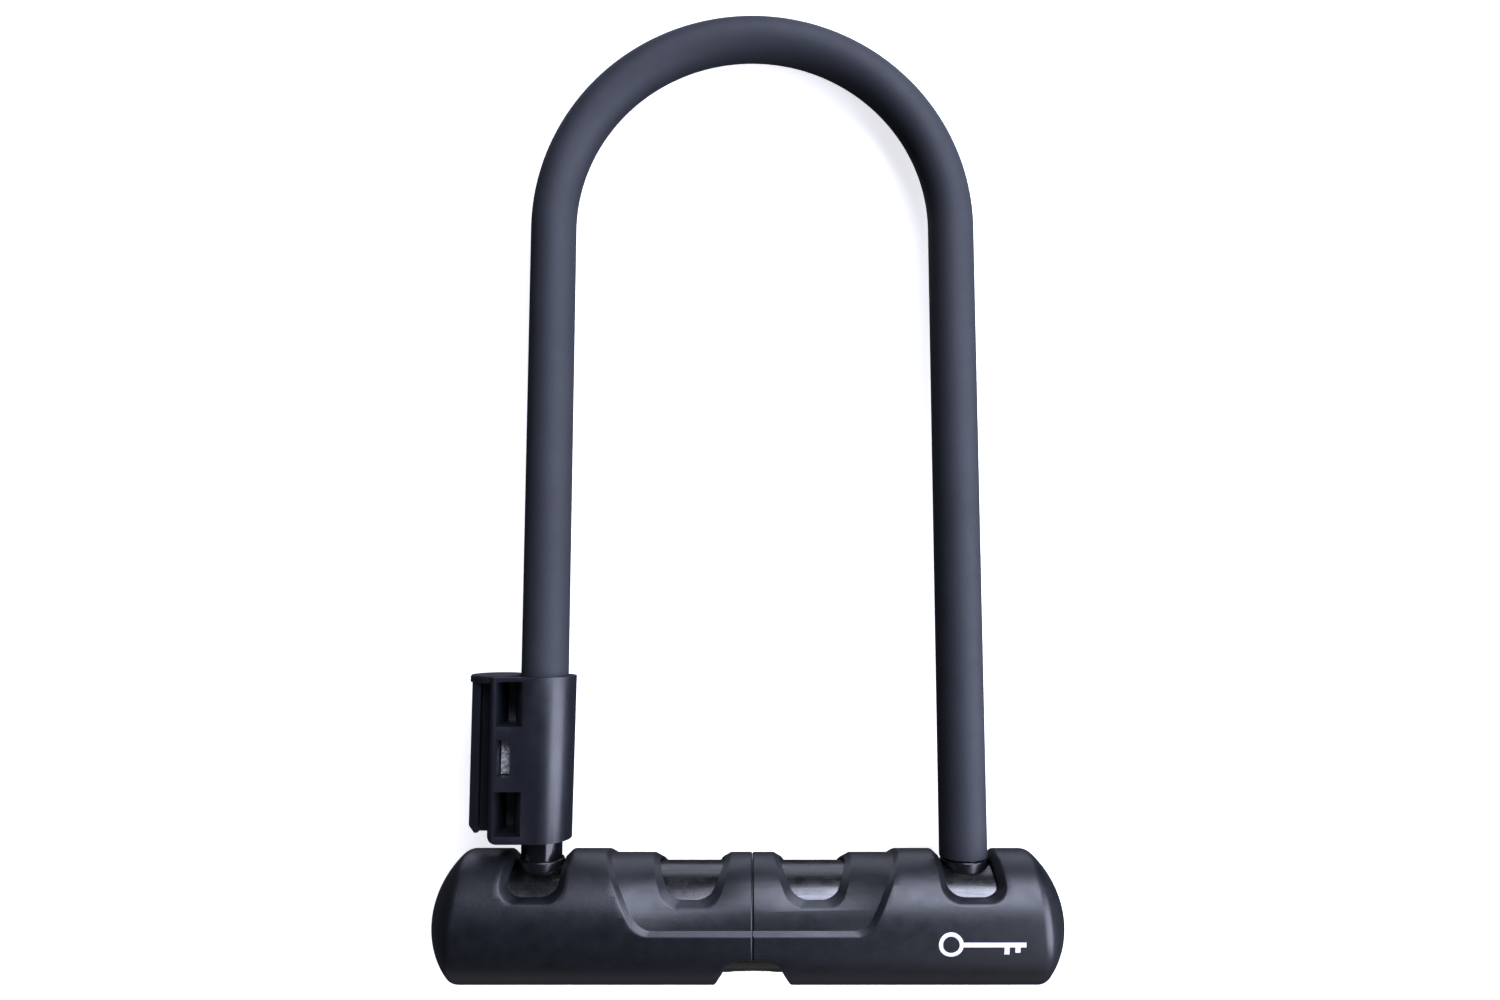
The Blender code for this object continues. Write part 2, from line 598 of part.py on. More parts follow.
def make_carrier(build):
    depth = SLEEVE_R
    fillet = BLOCK_FILLET
    round_side = arc(-LEG_X, 0, SLEEVE_R, -90, 90, 20)
    top_corner = arc(BLOCK_LEFT + fillet, depth - fillet, fillet, 90, 180, 4)
    low_corner = arc(BLOCK_LEFT + fillet, fillet - depth, fillet, 180, 270, 4)
    section = round_side + top_corner + low_corner
    # the section is drawn in X and Z, and its own Z is laid along -Y
    body = slab(section, -CARRIER_TOP, -CARRIER_LOW, Y_TO_Z)
    carrier = build.part("bracket_carrier", body, "carrier_plastic")
    web = box((RAIL_IN - MM, CARRIER_LOW, -WEB_HALF), (BLOCK_LEFT + MM, CARRIER_TOP, WEB_HALF))
    build.cut(carrier, "rail_web", web, "UNION")
    plate = box((RAIL_OUT, CARRIER_LOW, -RAIL_HALF), (RAIL_IN, CARRIER_TOP, RAIL_HALF))
    build.cut(carrier, "rail_plate", plate, "UNION")
    cap_ends = (CARRIER_TOP - CAP_THICK, CARRIER_TOP + CAP_STEP)
    cap = rod(CAP_R, *cap_ends, Z_TO_Y, 40, (CAP_X, 0, 0))
    build.cut(carrier, "cap", cap, "UNION")

    far_left = CAP_X - CAP_R - MM
    far_right = -LEG_X + SLEEVE_R + MM
    corner = BLOCK_CORNER
    rail_low = CARRIER_LOW + RAIL_LIFT
    front = [(far_left, CARRIER_TOP + 2 * MM), (far_left, rail_low + 3 * MM),
             (RAIL_OUT - 0.2 * MM, rail_low + 2.4 * MM), (RAIL_OUT + 1.6 * MM, rail_low),
             (BLOCK_LEFT, rail_low)]
    front += arc(BLOCK_LEFT + corner, CARRIER_LOW + corner, corner, 180, 270, 5)
    front += [(far_right, CARRIER_LOW), (far_right, CARRIER_TOP + 2 * MM)]
    build.cut(carrier, "carrier_front", slab(front, -OUTSIDE, OUTSIDE, Matrix()), "INTERSECT")

    leg = (-LEG_X, 0, 0)
    past_ends = (CARRIER_LOW - MM, CARRIER_TOP + MM)
    build.cut(carrier, "leg_bore", rod(COAT_R + GAP, *past_ends, Z_TO_Y, 40, leg))
    for low, high in POCKETS:
        shape = box((POCKET_LEFT, low, POCKET_FLOOR), (POCKET_RIGHT, high, OUTSIDE))
        pocket = build.cutter("pocket", shape)
        wall = rod(POCKET_WALL_R, *past_ends, Z_TO_Y, 40, leg)
        combine(pocket, build.cutter("pocket_wall", wall))
        combine(carrier, pocket)
    slot = box((NUT_LEFT - GAP, NUT_Y - NUT_HALF - GAP, -NUT_HALF - GAP),
               (NUT_RIGHT + GAP, NUT_Y + NUT_HALF + GAP, OUTSIDE))
    build.cut(carrier, "nut_slot", slot)
    on_screw = (0, NUT_Y, 0)
    hole_start = BLOCK_LEFT + SCREW_SUNK - GAP
    hole = rod(SCREW_R + GAP, hole_start, SCREW_HOLE_END, Z_TO_X, 24, on_screw)
    build.cut(carrier, "screw_hole", hole)
    key_hole = rod(KEY_HOLE_R, BLOCK_LEFT - OUTSIDE, hole_start + MM, Z_TO_X, 16, on_screw)
    build.cut(carrier, "hex_key_hole", key_hole)
    make_clamp(build, on_screw)


def make_clamp(build, on_screw):
    """The square nut in its slot, and the set screw that presses on the coated leg."""

    nut = build.part("clamp_nut", box((NUT_LEFT, NUT_Y - NUT_HALF, -NUT_HALF),
                                      (NUT_RIGHT, NUT_Y + NUT_HALF, NUT_HALF)), "zinc")
    hole = rod(SCREW_R + GAP, NUT_LEFT - MM, NUT_RIGHT + MM, Z_TO_X, 24, on_screw)
    build.cut(nut, "nut_hole", hole)
    screw_from, screw_to = BLOCK_LEFT + SCREW_SUNK, -LEG_X - COAT_R - 1.2 * GAP
    screw = build.part("clamp_screw", rod(SCREW_R, screw_from, screw_to, Z_TO_X, 24, on_screw),
                       "zinc")
    socket = rod(HEX_R, screw_from - MM, screw_from + HEX_DEEP, Z_TO_X, 6, on_screw)
    build.cut(screw, "hex_socket", socket)


class Build:
    """Puts parts and cutters where they belong, all riding on the lock's frame."""

    def __init__(self):
        self.parts = collection("u_lock")
        self.cutters = collection("cutters")
        self.frame = bpy.data.objects.new("lock_frame", None)
        self.frame.location = (CROSSBAR_X, CROSSBAR_Y, COVER_R)
        self.frame.rotation_euler = (-LIE, 0, 0)
        self.plug_axis = bpy.data.objects.new("plug_axis", None)
        self.plug_axis.parent = self.frame
        for empty in (self.frame, self.plug_axis):
            self.parts.objects.link(empty)
        self.materials = {
            "cover_plastic": finish_material("cover_plastic", (0.022, 0.024, 0.029), 0.45),
            "coating": finish_material("coating", (0.03, 0.031, 0.036), 0.55),
            "carrier_plastic": finish_material("carrier_plastic", (0.02, 0.021, 0.026), 0.35),
            "black_steel": finish_material("black_steel", (0.01, 0.01, 0.012), 0.2, 0.5),
            "satin_steel": finish_material("satin_steel", (0.42, 0.42, 0.42), 0.4, 1.0),
            "grey_steel": finish_material("grey_steel", (0.3, 0.3, 0.31), 0.45, 1.0),
            "zinc": finish_material("zinc", (0.6, 0.6, 0.6), 0.3, 1.0),
            "brass": finish_material("brass", (0.7, 0.5, 0.22), 0.35, 1.0),
            "brass_nickel": finish_material("brass_nickel", (0.55, 0.53, 0.48), 0.3, 1.0),
            "rubber": finish_material("rubber", (0.012, 0.012, 0.013), 0.3),
            "white_plastic": finish_material("white_plastic", (0.7, 0.7, 0.66), 0.5),
        }

    def part(self, name, mesh, material, parent=None):
        return place(name, mesh, self.parts, parent or self.frame, self.materials[material])

    def cutter(self, name, mesh, parent=None):
        return place("cut_" + name, mesh, self.cutters, parent or self.frame)

    def cut(self, target, name, mesh, operation="DIFFERENCE", parent=None):
        combine(target, self.cutter(name, mesh, parent), operation)


def main():
    clear_scene()
    build = Build()
    make_cover(build, -1, "cover_left")
    make_cover(build, 1, "cover_right")
    make_tube(build)
    make_ends_and_seals(build)
    make_housing(build)
    make_plug(build)
    make_driver(build)
    make_bolts(build)
    make_shackle(build)
    make_carrier(build)


main()
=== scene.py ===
"""Bicycle U lock: fine meshes, materials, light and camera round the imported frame.

Shapes are made in the lock's own frame, in millimetres: X along the crossbar, Y along the
legs towards the arch, Z out of the face.  The frame's key cylinder gives that frame: its
pivot is the crossbar's middle and its axis is Y.
"""
import json
import math

import bmesh
import bpy
from mathutils import Matrix, Vector


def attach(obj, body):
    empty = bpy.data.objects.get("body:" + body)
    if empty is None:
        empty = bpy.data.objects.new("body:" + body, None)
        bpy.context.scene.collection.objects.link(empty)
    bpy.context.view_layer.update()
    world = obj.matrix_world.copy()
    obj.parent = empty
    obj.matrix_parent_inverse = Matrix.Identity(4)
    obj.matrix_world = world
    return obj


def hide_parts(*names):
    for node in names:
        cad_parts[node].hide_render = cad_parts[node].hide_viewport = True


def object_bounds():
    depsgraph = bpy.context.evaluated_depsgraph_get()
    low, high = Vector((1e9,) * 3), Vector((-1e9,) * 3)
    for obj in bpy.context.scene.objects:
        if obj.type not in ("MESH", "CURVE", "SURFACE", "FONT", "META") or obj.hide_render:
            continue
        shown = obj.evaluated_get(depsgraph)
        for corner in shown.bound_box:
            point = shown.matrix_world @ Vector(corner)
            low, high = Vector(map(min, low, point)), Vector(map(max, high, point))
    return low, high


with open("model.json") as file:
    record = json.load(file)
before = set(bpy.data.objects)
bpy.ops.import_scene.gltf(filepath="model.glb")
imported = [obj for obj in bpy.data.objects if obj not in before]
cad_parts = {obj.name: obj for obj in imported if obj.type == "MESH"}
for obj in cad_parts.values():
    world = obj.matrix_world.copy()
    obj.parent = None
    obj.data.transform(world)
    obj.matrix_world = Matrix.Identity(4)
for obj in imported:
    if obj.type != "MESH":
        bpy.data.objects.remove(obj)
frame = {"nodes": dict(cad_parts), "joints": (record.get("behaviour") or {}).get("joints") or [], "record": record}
cad_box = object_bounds()

MM = 0.001


def joint(name):
    return next(j for j in frame["joints"] if j["name"] == name)


def lock_matrix():
    """Maps the lock's own frame, in metres, onto the row's frame."""
    turn = joint("plug_turn")
    along = Vector(turn["axis"]).normalized()
    across = Vector((1, 0, 0))
    out = across.cross(along)
    basis = Matrix((across, along, out)).transposed().to_4x4()
    return Matrix.Translation(turn["pos_m"]) @ basis


LOCK = lock_matrix()


def box_mm(node):
    """A node's extent in X, Y and Z of the lock's own frame, in millimetres."""
    back = LOCK.inverted()
    points = [back @ v.co / MM for v in frame["nodes"][node].data.vertices]
    return [(min(p[i] for p in points), max(p[i] for p in points)) for i in range(3)]


# Sizes read from the frame
SEAL_BOX = box_mm("leg_seal_right")
BAR_BOX = box_mm("shackle_bar")
COAT_BOX = box_mm("shackle_coating")
TUBE_BOX = box_mm("body_tube")
COVER_BOX = box_mm("cover_right")
CARRIER_BOX = box_mm("bracket_carrier")
PLUG_BOX = box_mm("cylinder_plug")
HOUSING_BOX = box_mm("cylinder_housing")
NUT_BOX = box_mm("clamp_nut")
SCREW_BOX = box_mm("clamp_screw")
BOLT_BOX = box_mm("bolt_right")

LEG_X = sum(SEAL_BOX[0]) / 2
BAR_R = BAR_BOX[0][1] - LEG_X
COAT_R = COAT_BOX[0][1] - LEG_X
ARCH_Y = BAR_BOX[1][1] - BAR_R - LEG_X
FOOT_Y = BAR_BOX[1][0]
TUBE_R = TUBE_BOX[2][1]
TUBE_HALF = TUBE_BOX[0][1]
COVER_R = round(COVER_BOX[2][1], 1)

# Details that the frame's boxes don't give
GAP = 0.3                     # between parts that fit into each other
COAT_BORE = BAR_R + GAP
COAT_END_RIGHT = SEAL_BOX[1][1] + GAP
COAT_END_LEFT = 24.0          # hidden inside the carrier's sleeve
COAT_EDGE = 0.35              # rounding of the coating's ends
FOOT_TAPER, FOOT_TIP = 1.6, 0.78          # a foot's taper, and its end's share of the radius
BOLT_REACH = 4.4              # how far a bolt's tip moves out, with some play
FOOT_NOTCH_FROM, FOOT_NOTCH_PLAY = 50.0, 0.5
WING_R = 17.4
COVER_BORE = TUBE_R + GAP
TUBE_BORE = TUBE_R - 3.0
TUBE_CHAMFER = 0.5
LEG_HOLE = COAT_R + 0.4
END_SPHERE = 24.8             # radius of the shallow dome that closes an end
END_ROUND = 4.0               # rounding between the dome and the cylinder
END_RAKE = 0.05               # the ends lean: longer away from the legs
OUTSIDE = 20.0                # past every surface near it, for the ends of cutters
FINE = 176                    # sides of the crossbar's round surfaces
ROUND = 96                    # sides of the smaller round parts


# ---------------------------------------------------------------- shapes

def bm_object(bm, name):
    bmesh.ops.recalc_face_normals(bm, faces=bm.faces)
    mesh = bpy.data.meshes.new(name)
    bm.to_mesh(mesh)
    bm.free()
    made = bpy.data.objects.new(name, mesh)
    bpy.context.scene.collection.objects.link(made)
    return made


def bake_modifiers(made):
    """Replace an object's mesh by what its modifiers make of it."""
    graph = bpy.context.evaluated_depsgraph_get()
    mesh = bpy.data.meshes.new_from_object(made.evaluated_get(graph))
    made.modifiers.clear()
    old = made.data
    made.data = mesh
    bpy.data.meshes.remove(old)


def carve(made, cutters, operation="DIFFERENCE"):
    """Cut, join or intersect an object with others, which are used up.

    The solver needs closed meshes, and leaves them closed.
    """
    for cutter in cutters:
        step = made.modifiers.new("cut", "BOOLEAN")
        step.operation = operation
        step.solver = "MANIFOLD"
        step.object = cutter
    bake_modifiers(made)
    for cutter in cutters:
        bpy.data.objects.remove(cutter)


def box(low, high):
    bm = bmesh.new()
    bmesh.ops.create_cube(bm, size=1.0)
    size = Vector(high) - Vector(low)
    middle = (Vector(high) + Vector(low)) / 2
    grow = Matrix.Translation(middle) @ Matrix.Diagonal((*size, 1.0))
    bmesh.ops.transform(bm, matrix=grow, verts=bm.verts)
    return bm_object(bm, "box")


AXES = {
    "X": Matrix.Rotation(math.pi / 2, 4, "Y"),
    "Y": Matrix.Rotation(-math.pi / 2, 4, "X"),
    "Z": Matrix(),
}


def rod(radius, low, high, axis, sides, centre=(0, 0, 0)):
    """A cylinder from low to high along an axis."""
    bm = bmesh.new()
    bmesh.ops.create_cone(
        bm, cap_ends=True, segments=sides, radius1=radius, radius2=radius, depth=high - low)
    shift = Matrix.Translation((0, 0, (low + high) / 2))
    place = Matrix.Translation(centre) @ AXES[axis] @ shift
    bmesh.ops.transform(bm, matrix=place, verts=bm.verts)
    return bm_object(bm, "rod")


def arc(cx, cy, radius, start, end, steps):
    """Points on an arc, with its angles in degrees."""
    out = []
    for i in range(steps + 1):
        a = math.radians(start + (end - start) * i / steps)
        out.append((cx + radius * math.cos(a), cy + radius * math.sin(a)))
    return out


def turned(profile, axis, sides, centre=(0, 0, 0), closed=True):
    """A turned solid from (along, radius) points; radius 0 closes an end in a point.

    A closed profile's last point joins its first, which makes a ring.
    """
    bm = bmesh.new()
    rings = []
    for along, radius in profile:
        if radius == 0:
            rings.append([bm.verts.new((0, 0, along))])
            continue
        ring = []
        for i in range(sides):
            a = 2 * math.pi * i / sides
            ring.append(bm.verts.new((radius * math.cos(a), radius * math.sin(a), along)))
        rings.append(ring)
    pairs = list(zip(rings, rings[1:]))
    if closed and len(rings[0]) > 1 and len(rings[-1]) > 1:
        pairs.append((rings[-1], rings[0]))
    for a, b in pairs:
        for i in range(sides):
            j = (i + 1) % sides
            quad = [a[i % len(a)], a[j % len(a)], b[j % len(b)], b[i % len(b)]]
            corners = list(dict.fromkeys(quad))
            if len(corners) > 2:
                bm.faces.new(corners)
    place = Matrix.Translation(centre) @ AXES[axis]
    bmesh.ops.transform(bm, matrix=place, verts=bm.verts)
    return bm_object(bm, "turned")


MERGE = 1e-4                  # points closer than this are one point
FLAT_TURN = 0.001             # radians; edges that turn less than this go


def slab(outlines, low, high, plane="XY"):
    """Flat outlines, the first one outside and the rest holes, made thick."""
    curve = bpy.data.curves.new("outline", "CURVE")
    curve.dimensions = "2D"
    curve.fill_mode = "BOTH"
    curve.extrude = (high - low) / 2
    for outline in outlines:
        spline = curve.splines.new("POLY")
        spline.points.add(len(outline) - 1)
        spline.use_cyclic_u = True
        for point, (u, v) in zip(spline.points, outline):
            point.co = (u, v, 0.0, 1.0)
    flat = bpy.data.objects.new("outline", curve)
    bpy.context.scene.collection.objects.link(flat)
    graph = bpy.context.evaluated_depsgraph_get()
    mesh = bpy.data.meshes.new_from_object(flat.evaluated_get(graph))
    bpy.data.objects.remove(flat)
    bm = bmesh.new()
    bm.from_mesh(mesh)
    bpy.data.meshes.remove(mesh)
    bmesh.ops.remove_doubles(bm, verts=bm.verts, dist=MERGE)
    bmesh.ops.dissolve_limit(bm, angle_limit=FLAT_TURN, verts=bm.verts, edges=bm.edges)
    lift = Matrix.Translation((0, 0, (low + high) / 2))
    # an XZ outline keeps its X and Z, and its thickness runs along -Y
    turn = Matrix.Rotation(math.pi / 2, 4, "X") if plane == "XZ" else Matrix()
    bmesh.ops.transform(bm, matrix=turn @ lift, verts=bm.verts)
    return bm_object(bm, "slab")


def corner_inset(distance, radius):
    """How far a rounded corner draws in at a distance from the edge."""
    left = max(radius - distance, 0.0)
    return radius - math.sqrt(max(radius * radius - left * left, 0.0))


def eased(values, steps):
    """Values spread over each gap between the given ones."""
    out = []
    for a, b in zip(values, values[1:]):
        out += [a + (b - a) * i / steps for i in range(steps)]
    return out + [values[-1]]


def patch(rows, layers, sink=1.0):
    """A block wrapped round the crossbar, for cutting its cover.

    rows are (angle, x low, x high) round the crossbar; layers are (radius, grow), and
    each layer stands grow outside the outline, so that the walls slope or round.  At the
    first and last row the outline grows by sink times as much.
    """
    middle = (rows[0][0] + rows[-1][0]) / 2
    half = (rows[-1][0] - rows[0][0]) / 2
    bm = bmesh.new()
    rings = []
    for radius, grow in layers:
        stretch = 1 + math.degrees(sink * grow / COVER_R) / half
        ring = []
        for angle, low, high in rows:
            a = math.radians(middle + (angle - middle) * stretch)
            y, z = radius * math.sin(a), radius * math.cos(a)
            ring.append((bm.verts.new((low - grow, y, z)), bm.verts.new((high + grow, y, z))))
        rings.append(ring)
    for ring in (rings[0], rings[-1]):
        for (a, b), (c, d) in zip(ring, ring[1:]):
            bm.faces.new((a, b, d, c))
    for inner, outer in zip(rings, rings[1:]):
        for side in (0, 1):
            for i in range(len(rows) - 1):
                bm.faces.new((inner[i][side], inner[i + 1][side],
                              outer[i + 1][side], outer[i][side]))
        for i in (0, -1):
            bm.faces.new((inner[i][0], inner[i][1], outer[i][1], outer[i][0]))
    return bm_object(bm, "patch")


def over_top(rows):
    """Rows up to the top of the crossbar and the same down its back."""
    return rows + [(180 - angle, half) for angle, half in reversed(rows)]


def centred(rows, x):
    """Rows of (angle, half width) as rows of (angle, x low, x high)."""
    return [(angle, x - half, x + half) for angle, half in rows]


# ---------------------------------------------------------------- crossbar cover

# Angles run round the crossbar, from 0 at its face to 90 at its top, under the arch.  Each
# opening starts at its FROM angle; HALF, LOW and TOP are half widths.  Its rows lie close
# together round its corner, and further apart above it.  WALL is the radius where a straight
# wall ends, LIP is how far the lip stands out round it, and SINK is how many times further
# the lip reaches at the opening's lower edge.
NOTCH_FROM, NOTCH_HALF, NOTCH_CORNER = 32.8, 7.3, 5.0
NOTCH_CORNER_ROWS = (NOTCH_FROM, 33.2, 34.4, 37.0, 41.0, 46.0, 50.0)
NOTCH_ROWS = (57, 65, 74, 84, 89.3)
NOTCH_WALL, NOTCH_LIP, NOTCH_SINK = 16.6, 1.9, 1.35

WINDOW_FROM, WINDOW_X, WINDOW_LOW, WINDOW_TOP, WINDOW_CORNER = 30.8, 17.5, 5.3, 9.4, 3.4
WINDOW_CORNER_ROWS = (WINDOW_FROM, 31.2, 32.4, 35.0, 39.0, 43.0)
WINDOW_ROWS = (48, 54, 61, 68, 77, 88.9)
WINDOW_WALL, WINDOW_LIP, WINDOW_SINK = 16.2, 1.8, 1.6

WING_FROM, WING_LOW, WING_TOP, WING_CORNER = 3.3, 31.0, 41.2, 3.3
WING_ROWS = (WING_FROM, 3.7, 5.0, 8.0, 14.0, 26.0, 50.3, 74.0, 88.7)
WING_CURVE = 1.7              # how fast the wing's sides straighten towards the legs

KEY_FROM, KEY_LOW, KEY_HALF, KEY_CORNER = 24.0, 6.4, 10.8, 4.2
KEY_DEPTHS = (0, 0.4, 1.6, 4.0, 8.0, 14.6, 33.7, 63.2)   # degrees down from its upper edge

CUT_FROM, CUT_TO = 14.0, 21.0             # cutters of the cover, inside and outside it
SEAM_HALF, SEAM_CORNER = 0.03, 0.2
TIP_MARGIN = 1.0                          # the lean starts this far inside the dome's edge


def arc_length(angle):
    return math.radians(angle) * COVER_R


def notch_rows():
    rows = []
    for angle in eased(NOTCH_CORNER_ROWS, 4) + list(NOTCH_ROWS):
        inset = corner_inset(arc_length(angle - NOTCH_FROM), NOTCH_CORNER)
        rows.append((angle, NOTCH_HALF - inset))
    return over_top(rows)


def window_rows():
    rows = []
    for angle in eased(WINDOW_CORNER_ROWS, 4) + list(WINDOW_ROWS):
        flare = 1 - (1 - (angle - WINDOW_FROM) / (90 - WINDOW_FROM)) ** 2
        inset = corner_inset(arc_length(angle - WINDOW_FROM), WINDOW_CORNER)
        rows.append((angle, WINDOW_LOW + (WINDOW_TOP - WINDOW_LOW) * flare - inset))
    return over_top(rows)


def wing_rows():
    rows = []
    for angle in eased(WING_ROWS, 5):
        lean = (1 - (angle - WING_FROM) / (90 - WING_FROM)) ** WING_CURVE
        inset = corner_inset(arc_length(angle - WING_FROM), WING_CORNER)
        rows.append((angle, WING_TOP - (WING_TOP - WING_LOW) * lean - inset))
    return over_top(rows)


def key_notch_rows():
    """The notch at the lock's foot, from the face round to the back."""
    rows = []
    for depth in eased(KEY_DEPTHS, 4):
        flare = 1 - (1 - depth / (90 - KEY_FROM)) ** 2
        inset = corner_inset(arc_length(depth), KEY_CORNER)
        rows.append((-KEY_FROM - depth, KEY_LOW + (KEY_HALF - KEY_LOW) * flare - inset))
    back = [(-180 - angle, half) for angle, half in reversed(rows)]
    return list(reversed(rows + back))


def cover_form(reach):
    """Half a cover's outer form: a cylinder with a shallow domed end that leans.

    reach is how far the leaning dome stands out from the middle of the lock.
    """
    middle = reach - END_SPHERE * math.sqrt(1 + END_RAKE ** 2)
    round_r = COVER_R - END_ROUND
    round_x = math.sqrt((END_SPHERE - END_ROUND) ** 2 - round_r ** 2)
    meet = math.degrees(math.atan2(round_r, round_x))
    profile = [(SEAM_HALF, 0.0), (SEAM_HALF, COVER_R - SEAM_CORNER), (SEAM_CORNER, COVER_R)]
    profile += [(x, COVER_R) for x in eased((1.0, middle + round_x - 2.0), 30)]
    profile += arc(middle + round_x, round_r, END_ROUND, 90, meet, 8)
    profile += arc(middle, 0.0, END_SPHERE, meet, 0, 24)[1:-1]
    profile.append((middle + END_SPHERE, 0.0))
    form = turned(profile, "X", FINE)
    for vert in form.data.vertices:
        if vert.co.x > middle + round_x - TIP_MARGIN:
            vert.co.x -= END_RAKE * vert.co.y
    return form


def lip_layers(low, high, grow):
    """A straight wall from the bore, a sloping lip, and a rounded outer edge."""
    return [(CUT_FROM, 0.0), (low, 0.0), (low + 0.15, 0.08), (high - 0.25, grow - 0.28),
            (high - 0.08, grow), (high + 0.05, grow + 0.35), (high + 0.3, grow + 1.5),
            (CUT_TO, grow + 6.0)]


def wing_layers():
    """The recess's floor, its sloping step and a rounded outer edge."""
    return [(WING_R, 0.0), (WING_R + 0.1, 0.18), (COVER_R - 0.2, 1.2), (COVER_R - 0.05, 1.5),
            (COVER_R + 0.05, 1.9), (COVER_R + 0.3, 3.2), (CUT_TO, 8.0)]


def key_layers():
    """A straight wall and a bevelled outer edge."""
    return [(CUT_FROM, 0.0), (COVER_R - 0.9, 0.0), (COVER_R - 0.15, 0.45),
            (COVER_R + 0.1, 0.9), (CUT_TO, 3.8)]


SEAM_GAP, SEAM_DEPTH = 0.08, 0.35         # half the open gap's width, and its depth
SEAM_EDGE, SEAM_DROP, SEAM_RISE = 0.5, 0.36, 0.05     # the sloping edges beside it


def seam_groove(radius):
    """A shallow V all round the seam, cut where the surface stands at this radius."""
    brim = radius + SEAM_RISE
    return turned([(-SEAM_EDGE, brim), (0.0, radius - SEAM_DROP), (SEAM_EDGE, brim)], "X", FINE)


def seam_gap():
    """The open gap between the halves, also where the surface steps."""
    floor, roof = WING_R - SEAM_DEPTH, COVER_R + 1
    return turned([(-SEAM_GAP, floor), (-SEAM_GAP, roof), (SEAM_GAP, roof), (SEAM_GAP, floor)],
                  "X", FINE)


def make_cover(side, reach):
    """The right half of the cover, or its mirror image for side -1."""
    cover = cover_form(reach)
    carve(cover, [patch(centred(wing_rows(), 0.0), wing_layers())])
    carve(cover, [rod(COVER_BORE, -2.0, TUBE_HALF + GAP, "X", FINE)])
    notch_walls = lip_layers(NOTCH_WALL, COVER_R, NOTCH_LIP)
    carve(cover, [patch(centred(notch_rows(), LEG_X), notch_walls, NOTCH_SINK)])
    window_walls = lip_layers(WINDOW_WALL, WING_R, WINDOW_LIP)
    carve(cover, [patch(centred(window_rows(), WINDOW_X), window_walls, WINDOW_SINK)])
    carve(cover, [patch(centred(key_notch_rows(), 0.0), key_layers())])
    carve(cover, [seam_groove(WING_R), seam_groove(COVER_R), seam_gap()])
    if side < 0:
        cover.data.transform(Matrix.Diagonal((-1, 1, 1, 1)))
        cover.data.flip_normals()
    return cover


# ---------------------------------------------------------------- metal of the crossbar

HOUSING_R, HOUSING_TOP = HOUSING_BOX[0][1], HOUSING_BOX[1][1]
HOUSING_FRONT = -17.0                     # before the tube's curve trims it
HOUSING_SUNK = 0.2                        # its trimmed front, below the tube's surface
PLUG_R, PLUG_FACE = PLUG_BOX[0][1], PLUG_BOX[1][0]
PLUG_EDGE, PLUG_TOP = 0.35, 2.4
TAIL_R, TAIL_TOP = 3.2, 7.1
KEYWAY_HALF, KEYWAY_TALL, KEYWAY_END = 1.2, 4.2, 1.2
# wards of the keyway: x low, z low, x high, z high
WARDS = ((-2.0, 1.6, 2.0, 2.6), (-2.0, -2.9, 0.0, -2.0))
SEAL_SHOULDER = 0.55


def make_tube():
    profile = [(-TUBE_HALF + TUBE_CHAMFER, TUBE_R)]
    profile += [(x, TUBE_R) for x in eased((-TUBE_HALF + 2, TUBE_HALF - 2), 40)]
    profile += [(TUBE_HALF - TUBE_CHAMFER, TUBE_R), (TUBE_HALF, TUBE_R - TUBE_CHAMFER),
                (TUBE_HALF, TUBE_BORE), (-TUBE_HALF, TUBE_BORE),
                (-TUBE_HALF, TUBE_R - TUBE_CHAMFER)]
    tube = turned(profile, "X", FINE)
    inside = TUBE_BORE / 3
    for side in (-1, 1):
        carve(tube, [rod(LEG_HOLE, inside, OUTSIDE, "Y", 72, (side * LEG_X, 0, 0))])
    carve(tube, [rod(HOUSING_R + GAP, -OUTSIDE, -inside, "Y", 72)])
    return tube


def make_housing():
    """The cylinder's housing, its front trimmed just inside the tube's surface."""
    housing = rod(HOUSING_R, HOUSING_FRONT, HOUSING_TOP, "Y", ROUND)
    past = HOUSING_R + 3
    carve(housing, [rod(TUBE_R - HOUSING_SUNK, -past, past, "X", FINE)], "INTERSECT")
    carve(housing, [rod(PLUG_R + GAP, -OUTSIDE, HOUSING_TOP + 2.5, "Y", ROUND)])
    return housing


def make_plug():
    """The plug with its keyway and a round tail; its hidden slots are left out."""
    profile = [(PLUG_FACE, 0.0), (PLUG_FACE, PLUG_R - PLUG_EDGE),
               (PLUG_FACE + PLUG_EDGE, PLUG_R), (PLUG_TOP, PLUG_R), (PLUG_TOP, TAIL_R),
               (TAIL_TOP, TAIL_R), (TAIL_TOP, 0.0)]
    plug = turned(profile, "Y", ROUND)
    keyway = (-KEYWAY_HALF, -KEYWAY_TALL, KEYWAY_HALF, KEYWAY_TALL)
    for x0, z0, x1, z1 in (keyway, *WARDS):
        carve(plug, [box((x0, -OUTSIDE, z0), (x1, KEYWAY_END, z1))])
    return plug


def make_seal(side):
    """A glossy ring with a round shoulder between the coating and the tube."""
    low, high = SEAL_BOX[1]
    outer = (SEAL_BOX[0][1] - SEAL_BOX[0][0]) / 2
    profile = [(low, outer), (high - SEAL_SHOULDER, outer)]
    profile += [(high - SEAL_SHOULDER + SEAL_SHOULDER * math.sin(math.radians(a)),
                 outer - SEAL_SHOULDER + SEAL_SHOULDER * math.cos(math.radians(a)))
                for a in (20, 40, 60, 80, 90)]
    profile += [(high, COAT_BORE), (low, COAT_BORE)]
    return turned(profile, "Y", ROUND, (side * LEG_X, 0, 0))


# ---------------------------------------------------------------- shackle

